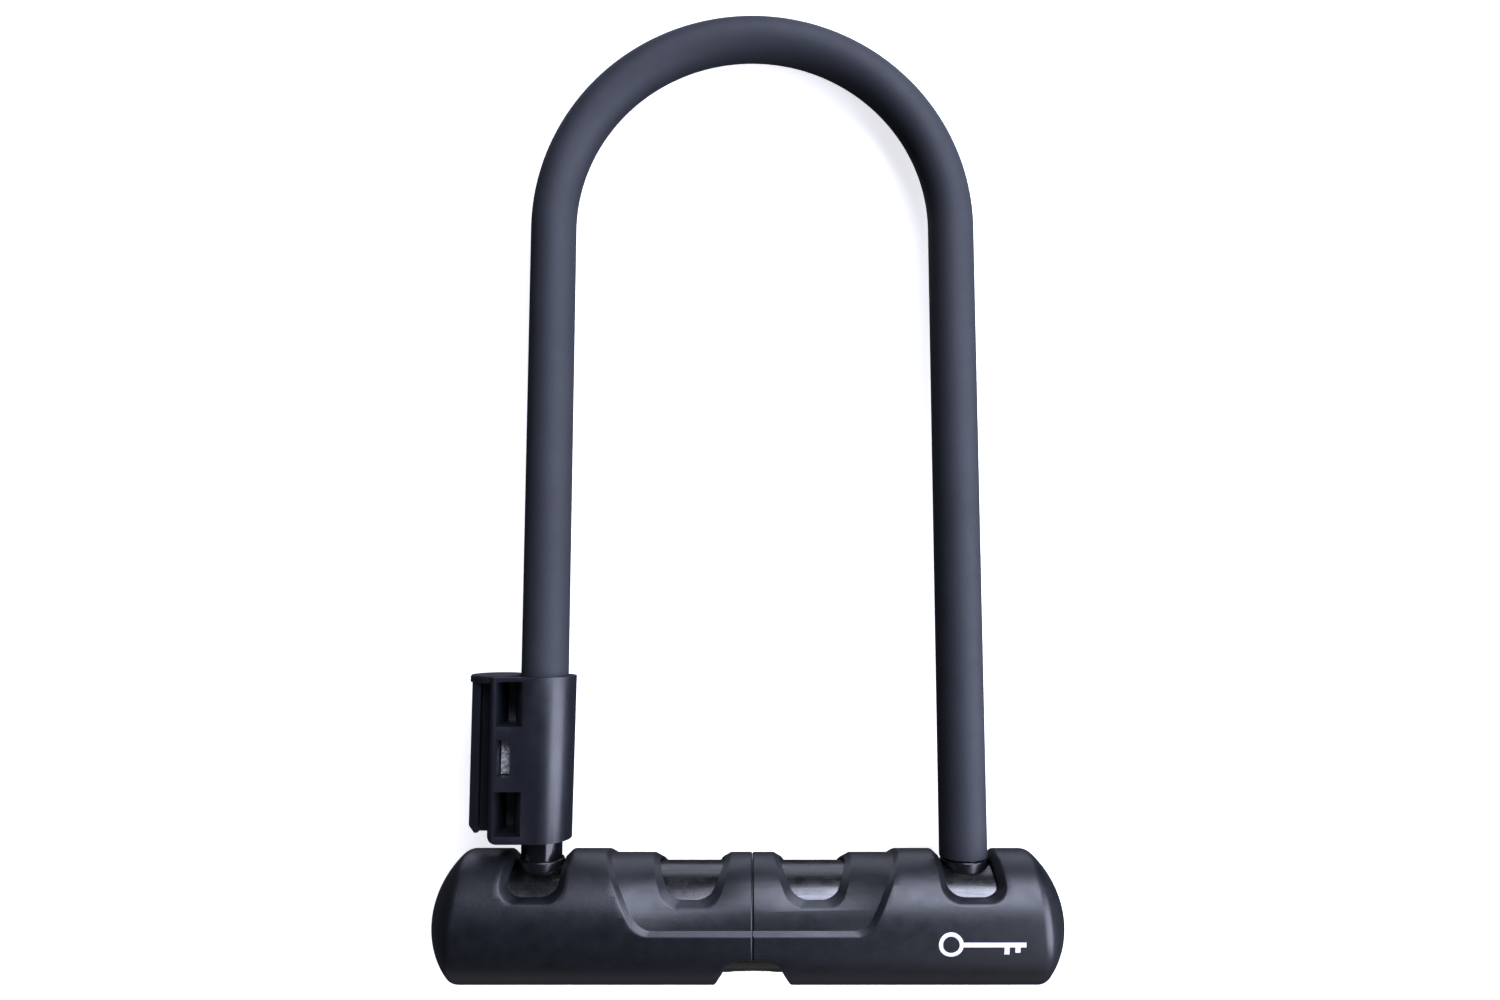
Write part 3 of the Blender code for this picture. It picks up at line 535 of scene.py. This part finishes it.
def u_path(low_right, low_left, straight_step=5.0, arch_steps=100):
    """(x, y, heading) along the U, from the right leg's low end to the left leg's."""
    path = []
    count = max(int((ARCH_Y - low_right) / straight_step), 1)
    for i in range(count):
        path.append((LEG_X, low_right + (ARCH_Y - low_right) * i / count, math.pi / 2))
    for i in range(arch_steps + 1):
        a = math.pi * i / arch_steps
        path.append((LEG_X * math.cos(a), ARCH_Y + LEG_X * math.sin(a), a + math.pi / 2))
    count = max(int((ARCH_Y - low_left) / straight_step), 1)
    for i in range(1, count + 1):
        path.append((-LEG_X, ARCH_Y - (ARCH_Y - low_left) * i / count, 1.5 * math.pi))
    return path


def rings_along(stations, sides):
    """A new mesh with a ring of vertices at each (x, y, heading, radius) station."""
    bm = bmesh.new()
    rings = []
    for x, y, heading, radius in stations:
        side = Vector((math.sin(heading), -math.cos(heading), 0))
        ring = []
        for i in range(sides):
            a = 2 * math.pi * i / sides
            place = Vector((x, y, 0)) + side * radius * math.cos(a)
            ring.append(bm.verts.new(place + Vector((0, 0, radius * math.sin(a)))))
        rings.append(ring)
    return bm, rings


def join_rings(bm, rings, looped):
    """Skin the rings; looped joins the last ring to the first, for two walls in one."""
    pairs = list(zip(rings, rings[1:]))
    if looped:
        pairs.append((rings[-1], rings[0]))
    for a, b in pairs:
        for i in range(len(a)):
            j = (i + 1) % len(a)
            bm.faces.new((a[i], a[j], b[j], b[i]))


def make_coating():
    """The outer skin with rounded ends, and the inner wall back along the bar."""
    outer = [(x, y, h, COAT_R)
             for x, y, h in u_path(COAT_END_RIGHT + COAT_EDGE, COAT_END_LEFT + COAT_EDGE)]

    def end_ring(x, low, heading, turn):
        rise = COAT_EDGE * (1 - math.sin(math.radians(turn)))
        drawn_in = COAT_EDGE * (1 - math.cos(math.radians(turn)))
        return (x, low + rise, heading, COAT_R - drawn_in)

    right_end = [end_ring(LEG_X, COAT_END_RIGHT, math.pi / 2, t) for t in (90, 60, 30)]
    left_end = [end_ring(-LEG_X, COAT_END_LEFT, 1.5 * math.pi, t) for t in (30, 60, 90)]
    inner = [(x, y, h, COAT_BORE)
             for x, y, h in u_path(COAT_END_RIGHT, COAT_END_LEFT, straight_step=20, arch_steps=60)]
    bm, rings = rings_along(right_end + outer + left_end + inner[::-1], ROUND)
    join_rings(bm, rings, True)
    return bm_object(bm, "coating")


def make_bar():
    """The bent bar with its tapered feet and the notches that the bolts enter."""
    low = FOOT_Y + FOOT_TAPER
    body = [(x, y, h, BAR_R) for x, y, h in u_path(low, low, straight_step=8, arch_steps=60)]
    tip_r = BAR_R * FOOT_TIP
    right_tip = (LEG_X, FOOT_Y, math.pi / 2, tip_r)
    left_tip = (-LEG_X, FOOT_Y, 1.5 * math.pi, tip_r)
    bm, rings = rings_along([right_tip] + body + [left_tip], 72)
    join_rings(bm, rings, False)
    bm.faces.new(rings[0])
    bm.faces.new(rings[-1])
    bar = bm_object(bm, "bar")
    reach = BOLT_BOX[0][1] + BOLT_REACH
    floor, roof = BOLT_BOX[1][0] - FOOT_NOTCH_PLAY, BOLT_BOX[1][1] + FOOT_NOTCH_PLAY
    past = BAR_R + 2
    carve(bar, [box((FOOT_NOTCH_FROM, floor, -past), (reach, roof, past)),
                box((-reach, floor, -past), (-FOOT_NOTCH_FROM, roof, past))])
    return bar


# ---------------------------------------------------------------- bracket carrier

IN_FRONT = 12.0               # past the carrier's face
BLOCK_LEFT, BLOCK_FILLET, BLOCK_CORNER = -76.2, 1.4, 3.0
RAIL_OUT, RAIL_IN, RAIL_HALF, WEB_HALF = -82.3, -79.8, 5.2, 2.5
RAIL_LIFT = 2.4               # the rail ends this far above the block's lower end
RAIL_RAMP_WIDE, RAIL_RAMP_TALL = 1.6, 2.4
CAP_X, CAP_R, CAP_THICK, CAP_STEP, CAP_EDGE = -75.8, 8.2, 1.7, 0.4, 0.4
POCKETS = ((24.2, 36.8), (55.2, 68.0))
POCKET_LEFT, POCKET_RIGHT, POCKET_FLOOR, POCKET_WALL_R = -74.3, -66.4, -7.0, 8.3
SCREW_HOLE_R, SCREW_HOLE_END, KEY_HOLE_R = 3.3, -66.0, 2.0
SLEEVE_TOP_R, SLEEVE_LOW_R = 9.4, 8.7     # draft makes the sleeve's free side slimmer below


def block_with_rail(low, high):
    """The sleeve and block's section made long, with the rail and the round cap."""
    inset = SLEEVE_TOP_R - BLOCK_FILLET
    section = arc(-LEG_X, 0, SLEEVE_TOP_R, -90, 90, 48)
    section += arc(BLOCK_LEFT + BLOCK_FILLET, inset, BLOCK_FILLET, 90, 180, 10)
    section += arc(BLOCK_LEFT + BLOCK_FILLET, -inset, BLOCK_FILLET, 180, 270, 10)
    body = slab([section], -high, -low, "XZ")
    web = box((RAIL_IN - 1, low, -WEB_HALF), (BLOCK_LEFT + 1, high, WEB_HALF))
    plate = box((RAIL_OUT, low, -RAIL_HALF), (RAIL_IN, high, RAIL_HALF))
    top = high + CAP_STEP
    profile = [(high - CAP_THICK, 0), (high - CAP_THICK, CAP_R - CAP_EDGE / 2),
               (high - CAP_THICK + CAP_EDGE / 2, CAP_R), (top - CAP_EDGE, CAP_R),
               (top, CAP_R - CAP_EDGE), (top, 0)]
    carve(body, [web, plate, turned(profile, "Y", ROUND, (CAP_X, 0, 0))], "UNION")

    far_left, far_right = CAP_X - CAP_R - 1, -LEG_X + SLEEVE_TOP_R + 1
    rail_low = low + RAIL_LIFT
    front = [(far_left, high + 2), (far_left, rail_low + RAIL_RAMP_TALL + 0.6),
             (RAIL_OUT - 0.2, rail_low + RAIL_RAMP_TALL),
             (RAIL_OUT + RAIL_RAMP_WIDE, rail_low), (BLOCK_LEFT, rail_low)]
    front += arc(BLOCK_LEFT + BLOCK_CORNER, low + BLOCK_CORNER, BLOCK_CORNER, 180, 270, 10)
    front += [(far_right, low), (far_right, high + 2)]
    carve(body, [slab([front], -IN_FRONT, IN_FRONT)], "INTERSECT")
    return body


def make_carrier():
    """Sleeve, cored block, rail and cap, with the nut's slot and the screw's holes."""
    low, high = CARRIER_BOX[1][0], CARRIER_BOX[1][1] - CAP_STEP
    body = block_with_rail(low, high)
    leg = (-LEG_X, 0, 0)
    carve(body, [rod(COAT_R + GAP, low - 5, high + 5, "Y", ROUND, leg)])
    for pocket_low, pocket_high in POCKETS:
        pocket = box((POCKET_LEFT, pocket_low, POCKET_FLOOR),
                     (POCKET_RIGHT, pocket_high, IN_FRONT))
        carve(pocket, [rod(POCKET_WALL_R, low - 5, high + 5, "Y", ROUND, leg)])
        carve(body, [pocket])
    slot = box((NUT_BOX[0][0] - GAP, NUT_BOX[1][0] - GAP, NUT_BOX[2][0] - GAP),
               (NUT_BOX[0][1] + GAP, NUT_BOX[1][1] + GAP, IN_FRONT))
    carve(body, [slot])
    on_screw = (0, sum(SCREW_BOX[1]) / 2, 0)
    hole_start = SCREW_BOX[0][0] - GAP
    carve(body, [rod(SCREW_HOLE_R, hole_start, SCREW_HOLE_END, "X", 48, on_screw),
                 rod(KEY_HOLE_R, -100, hole_start + 1, "X", 32, on_screw)])
    taper_sleeve(body, low, high)
    soften_edges(body, width=0.4, angle=40)
    return body


def soften_edges(body, width, angle):
    """Round off every edge that turns by more than an angle in degrees."""
    soften = body.modifiers.new("soften", "BEVEL")
    soften.width = width
    soften.segments = 2
    soften.limit_method = "ANGLE"
    soften.angle_limit = math.radians(angle)
    bake_modifiers(body)


def taper_sleeve(body, low, high):
    """Draft on the sleeve: its free side draws in towards the crossbar."""
    bore_wall = COAT_R + 1.0
    for vert in body.data.vertices:
        past = vert.co.x + LEG_X
        reach = math.hypot(past, vert.co.z)
        if past > 0 and reach > bore_wall:
            t = (high - vert.co.y) / (high - low)
            shrink = (SLEEVE_TOP_R - SLEEVE_LOW_R) * t * (past / reach) ** 2
            vert.co.x -= shrink * past / reach
            vert.co.z -= shrink * vert.co.z / reach


NUT_BORE = 3.25
THREAD_PITCH, THREAD_DEPTH = 1.0, 0.45
HEX_R, HEX_DEEP = 1.7, 3.0


def make_nut():
    (x0, x1), (y0, y1), (z0, z1) = NUT_BOX
    nut = box((x0, y0, z0), (x1, y1, z1))
    carve(nut, [rod(NUT_BORE, x0 - 1, x1 + 1, "X", 48, (0, (y0 + y1) / 2, 0))])
    soften_edges(nut, width=0.3, angle=30)
    return nut


def make_screw():
    """A socket set screw: its thread as ridges, a hex socket and a blunt point."""
    (x0, x1), (y0, y1), _ = SCREW_BOX
    radius = (y1 - y0) / 2
    centre = (0, (y0 + y1) / 2, 0)
    lead = 0.4                # plain length before and after the thread
    profile = [(x0, 0.0), (x0, radius - 0.5)]
    for i in range(int((x1 - x0 - 2 * lead) / THREAD_PITCH)):
        start = x0 + lead + i * THREAD_PITCH
        profile += [(start, radius - THREAD_DEPTH), (start + THREAD_PITCH * 0.4, radius),
                    (start + THREAD_PITCH * 0.55, radius)]
    profile += [(x1 - 0.3, radius - 0.5), (x1, radius - 0.9), (x1, 0.0)]
    screw = turned(profile, "X", 48, centre)
    carve(screw, [rod(HEX_R, x0 - 1, x0 + HEX_DEEP, "X", 6, centre)])
    return screw


# ---------------------------------------------------------------- printed mark

MARK_X, MARK_ANGLE = 63.1, -7.5           # its middle: along the crossbar, and round it
MARK_LONG, MARK_RING, MARK_STROKE, MARK_SHAFT = 24.0, 3.4, 1.1, 0.65
# teeth of the key: start and end, back from the tip, and how far down they reach
MARK_TEETH = ((6.0, 4.6, 2.7), (3.0, 1.6, 2.2))
MARK_LIFT, MARK_THICK = 0.035, 0.04       # height of its middle layer above the cover
MARK_STRIPS, MARK_STRIP = 6, 0.5          # strips on each side, so that it can bend


def mark_outline():
    ring_x = -MARK_LONG / 2 + MARK_RING
    tip = MARK_LONG / 2
    meet = math.degrees(math.asin(MARK_SHAFT / MARK_RING))
    outline = arc(ring_x, 0, MARK_RING, meet, 360 - meet, 60)
    for start, end, reach in MARK_TEETH:
        outline += [(tip - start, -MARK_SHAFT), (tip - start, -reach),
                    (tip - end, -reach), (tip - end, -MARK_SHAFT)]
    outline += [(tip, -MARK_SHAFT), (tip, MARK_SHAFT)]
    hole = arc(ring_x, 0, MARK_RING - MARK_STROKE, 0, 360, 48)[:-1]
    return [outline, hole]


def make_mark():
    """A plain key pictogram, printed on the cover's right end."""
    flat = slab(mark_outline(), -MARK_THICK / 2, MARK_THICK / 2)
    bm = bmesh.new()
    bm.from_mesh(flat.data)
    bpy.data.objects.remove(flat)
    for i in range(-MARK_STRIPS, MARK_STRIPS + 1):
        everything = bm.verts[:] + bm.edges[:] + bm.faces[:]
        bmesh.ops.bisect_plane(bm, geom=everything, plane_co=(0, i * MARK_STRIP, 0),
                               plane_no=(0, 1, 0))
    for vert in bm.verts:
        angle = math.radians(MARK_ANGLE) + vert.co.y / COVER_R
        radius = COVER_R + MARK_LIFT + vert.co.z
        vert.co = (MARK_X + vert.co.x, radius * math.sin(angle), radius * math.cos(angle))
    return bm_object(bm, "mark")


# ---------------------------------------------------------------- materials

def new_material(name, colour, roughness, metallic=0.0, specular=0.5):
    made = bpy.data.materials.new(name)
    made.use_nodes = True
    tree = made.node_tree
    shader = tree.nodes["Principled BSDF"]
    shader.inputs["Base Color"].default_value = (*colour, 1)
    shader.inputs["Roughness"].default_value = roughness
    shader.inputs["Metallic"].default_value = metallic
    shader.inputs["Specular IOR Level"].default_value = specular
    return made, tree, shader


def noise(tree, scale, detail=2.0, stretch=None):
    """A noise texture in the piece's own coordinates, in metres."""
    place = tree.nodes.new("ShaderNodeTexCoord")
    texture = tree.nodes.new("ShaderNodeTexNoise")
    texture.inputs["Scale"].default_value = scale
    texture.inputs["Detail"].default_value = detail
    if stretch:
        mapping = tree.nodes.new("ShaderNodeMapping")
        mapping.inputs["Scale"].default_value = stretch
        tree.links.new(place.outputs["Object"], mapping.inputs["Vector"])
        tree.links.new(mapping.outputs["Vector"], texture.inputs["Vector"])
    else:
        tree.links.new(place.outputs["Object"], texture.inputs["Vector"])
    return texture.outputs["Fac"]


NOISE_LOW, NOISE_HIGH = 0.3, 0.7          # what nearly all of a noise lies between


def spread(tree, value, low, high):
    """A noise stretched over a range of values."""
    ranged = tree.nodes.new("ShaderNodeMapRange")
    ranged.inputs["From Min"].default_value = NOISE_LOW
    ranged.inputs["From Max"].default_value = NOISE_HIGH
    ranged.inputs["To Min"].default_value = low
    ranged.inputs["To Max"].default_value = high
    tree.links.new(value, ranged.inputs["Value"])
    return ranged.outputs["Result"]


def tint(tree, value, dark, light):
    """A noise as a drift between two colours."""
    ramp = tree.nodes.new("ShaderNodeValToRGB")
    ramp.color_ramp.elements[0].position = NOISE_LOW
    ramp.color_ramp.elements[1].position = NOISE_HIGH
    ramp.color_ramp.elements[0].color = (*dark, 1)
    ramp.color_ramp.elements[1].color = (*light, 1)
    tree.links.new(value, ramp.inputs["Fac"])
    return ramp.outputs["Color"]


def bump(tree, shader, heights):
    """Stack bumps of (height value, depth in metres, strength)."""
    normal = None
    for value, depth, strength in heights:
        node = tree.nodes.new("ShaderNodeBump")
        node.inputs["Distance"].default_value = depth
        node.inputs["Strength"].default_value = strength
        tree.links.new(value, node.inputs["Height"])
        if normal:
            tree.links.new(normal, node.inputs["Normal"])
        normal = node.outputs["Normal"]
    tree.links.new(normal, shader.inputs["Normal"])


DRIFT_SCALE, CLOUD_SCALE = 60, 240        # noise scales of colour drift and cloudy gloss
COARSE = 6                                # a coarser grain, this many times the fine one


def moulded(name, dark, light, rough, grain, depth, specular):
    """Moulded plastic: eroded grain, cloudy gloss and a little colour drift."""
    made, tree, shader = new_material(name, light, rough[1], 0.0, specular)
    tree.links.new(tint(tree, noise(tree, DRIFT_SCALE, 3), dark, light),
                   shader.inputs["Base Color"])
    tree.links.new(spread(tree, noise(tree, CLOUD_SCALE, 4), *rough),
                   shader.inputs["Roughness"])
    bump(tree, shader, [(noise(tree, grain, 2), depth, 0.5),
                        (noise(tree, grain / COARSE, 2), depth, 0.25)])
    return made


def metal(name, dark, light, rough, stretch, depth, metallic=1.0):
    """Metal with fine lines along its working direction, or specks where it has none."""
    made, tree, shader = new_material(name, light, rough[1], metallic)
    lines = noise(tree, 1.0, 3, stretch)
    tree.links.new(tint(tree, lines, dark, light), shader.inputs["Base Color"])
    tree.links.new(spread(tree, noise(tree, 320, 3), *rough),
                   shader.inputs["Roughness"])
    bump(tree, shader, [(lines, depth, 0.4)])
    return made


def glossy(name, colour, rough, cloud, cloud_detail, ripple, depth, strength):
    """A smooth dark surface with cloudy gloss and a faint ripple."""
    made, tree, shader = new_material(name, colour, rough[1])
    tree.links.new(spread(tree, noise(tree, cloud, cloud_detail), *rough),
                   shader.inputs["Roughness"])
    bump(tree, shader, [(noise(tree, ripple, 2), depth, strength)])
    return made


def ink(name, dark, light):
    """Printed ink, a little uneven."""
    made, tree, shader = new_material(name, light, 0.5)
    tree.links.new(tint(tree, noise(tree, 500, 3), dark, light), shader.inputs["Base Color"])
    return made


def make_materials():
    """The row's material slots, and the mark's ink; depths are in metres."""
    return {
        "cover_plastic": moulded(
            "cover_plastic", (0.0028, 0.0034, 0.005), (0.0045, 0.0053, 0.0075),
            rough=(0.36, 0.44), grain=3200, depth=0.00005, specular=0.6),
        "coating": moulded(
            "coating", (0.019, 0.0205, 0.0265), (0.0235, 0.0255, 0.0325),
            rough=(0.62, 0.7), grain=2400, depth=0.00006, specular=0.35),
        "carrier_plastic": moulded(
            "carrier_plastic", (0.005, 0.006, 0.009), (0.007, 0.008, 0.012),
            rough=(0.34, 0.4), grain=2600, depth=0.00003, specular=0.6),
        "white_plastic": moulded(
            "white_plastic", (0.62, 0.61, 0.56), (0.7, 0.69, 0.65),
            rough=(0.4, 0.5), grain=2000, depth=0.00004, specular=0.5),
        "satin_steel": metal(
            "satin_steel", (0.074, 0.074, 0.073), (0.112, 0.112, 0.111),
            rough=(0.22, 0.31), stretch=(90, 2600, 2600), depth=0.00002),
        "grey_steel": metal(
            "grey_steel", (0.26, 0.26, 0.27), (0.38, 0.38, 0.39),
            rough=(0.36, 0.5), stretch=(1800, 300, 1800), depth=0.00002),
        "zinc": metal(
            "zinc", (0.16, 0.16, 0.16), (1.0, 1.0, 0.98),
            rough=(0.3, 0.5), stretch=(1500, 1500, 1500), depth=0.0002, metallic=0.2),
        "brass": metal(
            "brass", (0.55, 0.38, 0.16), (0.72, 0.53, 0.25),
            rough=(0.3, 0.42), stretch=(1500, 300, 1500), depth=0.00002),
        "brass_nickel": metal(
            "brass_nickel", (0.44, 0.42, 0.37), (0.6, 0.58, 0.53),
            rough=(0.24, 0.36), stretch=(1500, 300, 1500), depth=0.00002),
        "black_steel": glossy(
            "black_steel", (0.004, 0.004, 0.005), rough=(0.1, 0.2),
            cloud=180, cloud_detail=3, ripple=500, depth=0.00004, strength=0.15),
        "rubber": glossy(
            "rubber", (0.005, 0.005, 0.006), rough=(0.24, 0.32),
            cloud=400, cloud_detail=2, ripple=900, depth=0.00002, strength=0.1),
        "mark_ink": ink("mark_ink", (0.72, 0.73, 0.76), (0.86, 0.87, 0.88)),
    }


# ---------------------------------------------------------------- placing

SMOOTH_ANGLE = 32.0           # edges that turn by more stay sharp
CARRIER_SMOOTH_ANGLE = 28.0


def finish(made, name, body, material, nodes, smooth=SMOOTH_ANGLE):
    """Scale a shape to metres, lay it in the row's frame and hand it to its body."""
    made.name = name
    made.data.name = name
    made.data.transform(LOCK @ Matrix.Scale(MM, 4))
    made.data.materials.clear()
    made.data.materials.append(material)
    made.data.shade_smooth()
    made.data.set_sharp_from_angle(angle=math.radians(smooth))
    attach(made, body)
    if nodes:
        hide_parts(*nodes)
    return made


def dress_frame(materials):
    """Give each frame node that stays its own fine material."""
    for entry in frame["record"]["subparts"]:
        node = frame["nodes"][entry["node"]]
        node.data.materials.clear()
        node.data.materials.append(materials[entry["material_slot"]])


def make_pieces(materials):
    finish(make_cover(-1, -box_mm("cover_left")[0][0]), "cover_left_fine", "lock_body",
           materials["cover_plastic"], ["cover_left"])
    finish(make_cover(1, COVER_BOX[0][1]), "cover_right_fine", "lock_body",
           materials["cover_plastic"], ["cover_right"])
    finish(make_tube(), "body_tube_fine", "lock_body", materials["satin_steel"],
           ["body_tube"])
    finish(make_housing(), "cylinder_housing_fine", "lock_body", materials["brass_nickel"],
           ["cylinder_housing"])
    finish(make_plug(), "cylinder_plug_fine", "plug", materials["brass_nickel"],
           ["cylinder_plug"])
    for side, word in ((-1, "left"), (1, "right")):
        finish(make_seal(side), "leg_seal_%s_fine" % word, "lock_body", materials["rubber"],
               ["leg_seal_" + word])
    finish(make_coating(), "shackle_coating_fine", "shackle", materials["coating"],
           ["shackle_coating"])
    finish(make_bar(), "shackle_bar_fine", "shackle", materials["black_steel"],
           ["shackle_bar"])
    finish(make_carrier(), "bracket_carrier_fine", "shackle", materials["carrier_plastic"],
           ["bracket_carrier"], CARRIER_SMOOTH_ANGLE)
    finish(make_nut(), "clamp_nut_fine", "shackle", materials["zinc"], ["clamp_nut"])
    finish(make_screw(), "clamp_screw_fine", "shackle", materials["zinc"],
           ["clamp_screw"])
    finish(make_mark(), "printed_mark", "lock_body", materials["mark_ink"], [])


# ---------------------------------------------------------------- stage, light, camera

# Metres: the cove's flat floor, and the curve up from it
COVE_REACH, COVE_RISE, COVE_STEPS = 1.6, 1.4, 12
FLOOR_DROP = 0.0002           # the floor lies this far below the lock
FLOOR_GLOW = 0.75
ROOM_LOW = (0.05, 0.053, 0.062, 1)        # the room below the horizon, and above it
ROOM_HIGH = (0.04, 0.043, 0.052, 1)
HORIZON_BLUR = 0.05
DAYLIGHT = (0.74, 0.79, 1.0)
WARM_BOUNCE = (1.0, 0.96, 0.9)
LIGHT_AIM = Vector((0, 0, 0.02))
# Name, azimuth and elevation in degrees, distance and size in metres, power in watts.  The
# two bounces stand for the white table's light, and shine up through the floor.
LIGHTS = (
    ("far_window", 67, 38, 1.3, (0.9, 1.15), 31, DAYLIGHT),
    ("side_window", -10, 30, 0.95, (1.0, 0.9), 22, DAYLIGHT),
    ("near_window", -60, 28, 1.2, (0.8, 0.7), 1.8, DAYLIGHT),
    ("table_bounce", 90, -41, 1.2, (1.8, 0.9), 7.5, DAYLIGHT),
    ("near_bounce", -90, -12, 1.2, (1.8, 0.5), 0.5, WARM_BOUNCE),
)
CAMERA_PLACE = (-0.7, 92.6, 303.0)        # in the lock's own frame, mm
CAMERA_TILT = 5.53                        # degrees, towards the arch
LENS, SENSOR = 24.0, 36.0


def make_floor():
    """A white cove: a flat floor whose far edge curves up all round."""
    level = cad_box[0][2] - FLOOR_DROP
    profile = [(level, 0.0), (level, 0.3), (level, 0.8), (level, COVE_REACH)]
    for i in range(1, COVE_STEPS + 1):
        a = math.pi / 2 * i / COVE_STEPS
        profile.append((level + COVE_RISE * (1 - math.cos(a)),
                        COVE_REACH + COVE_RISE * math.sin(a)))
    floor = turned(profile, "Z", 64, closed=False)
    floor.name = "floor"
    floor.data.shade_smooth()
    made, _, shader = new_material("floor_white", (0.8, 0.8, 0.81), 0.9, 0.0, 0.1)
    shader.inputs["Emission Color"].default_value = (0.97, 0.97, 1.0, 1)
    shader.inputs["Emission Strength"].default_value = FLOOR_GLOW
    floor.data.materials.append(made)
    # the cove takes shadows, but sends no light or reflection back to the lock
    floor.visible_diffuse = False
    floor.visible_glossy = False
    floor.visible_shadow = False


def area_light(name, azimuth, elevation, distance, size, power, colour):
    """A soft rectangular light that faces the lock; azimuth 0 is +X and 90 is +Y."""
    data = bpy.data.lights.new(name, "AREA")
    data.shape = "RECTANGLE"
    data.size, data.size_y = size
    data.energy = power
    data.color = colour
    lamp = bpy.data.objects.new(name, data)
    bpy.context.scene.collection.objects.link(lamp)
    a, e = math.radians(azimuth), math.radians(elevation)
    away = Vector((math.cos(a) * math.cos(e), math.sin(a) * math.cos(e), math.sin(e)))
    lamp.location = LIGHT_AIM + away * distance
    lamp.rotation_euler = away.to_track_quat("Z", "Y").to_euler()


def make_world():
    """A dim room: a little light from below the horizon, and slightly less from above."""
    world = bpy.data.worlds.new("studio")
    world.use_nodes = True
    tree = world.node_tree
    place = tree.nodes.new("ShaderNodeTexCoord")
    split = tree.nodes.new("ShaderNodeSeparateXYZ")
    ramp = tree.nodes.new("ShaderNodeValToRGB")
    ramp.color_ramp.elements[0].position = 0.5 - HORIZON_BLUR
    ramp.color_ramp.elements[0].color = ROOM_LOW
    ramp.color_ramp.elements[1].position = 0.5 + HORIZON_BLUR
    ramp.color_ramp.elements[1].color = ROOM_HIGH
    shift = tree.nodes.new("ShaderNodeMapRange")
    shift.inputs["From Min"].default_value = -1.0
    tree.links.new(place.outputs["Generated"], split.inputs["Vector"])
    tree.links.new(split.outputs["Z"], shift.inputs["Value"])
    tree.links.new(shift.outputs["Result"], ramp.inputs["Fac"])
    tree.links.new(ramp.outputs["Color"], tree.nodes["Background"].inputs["Color"])
    tree.nodes["Background"].inputs["Strength"].default_value = 1.0
    bpy.context.scene.world = world


def make_light():
    make_world()
    for light in LIGHTS:
        area_light(*light)
    bpy.context.scene.view_settings.view_transform = "Standard"


def make_camera():
    data = bpy.data.cameras.new("camera")
    data.lens = LENS
    data.sensor_width = SENSOR
    data.clip_start = 0.01
    camera = bpy.data.objects.new("camera", data)
    bpy.context.scene.collection.objects.link(camera)
    tilt = Matrix.Rotation(math.radians(CAMERA_TILT), 4, "X")
    camera.matrix_world = LOCK @ Matrix.Translation(Vector(CAMERA_PLACE) * MM) @ tilt
    bpy.context.scene.camera = camera


def main():
    materials = make_materials()
    dress_frame(materials)
    make_pieces(materials)
    make_floor()
    make_light()
    make_camera()


main()
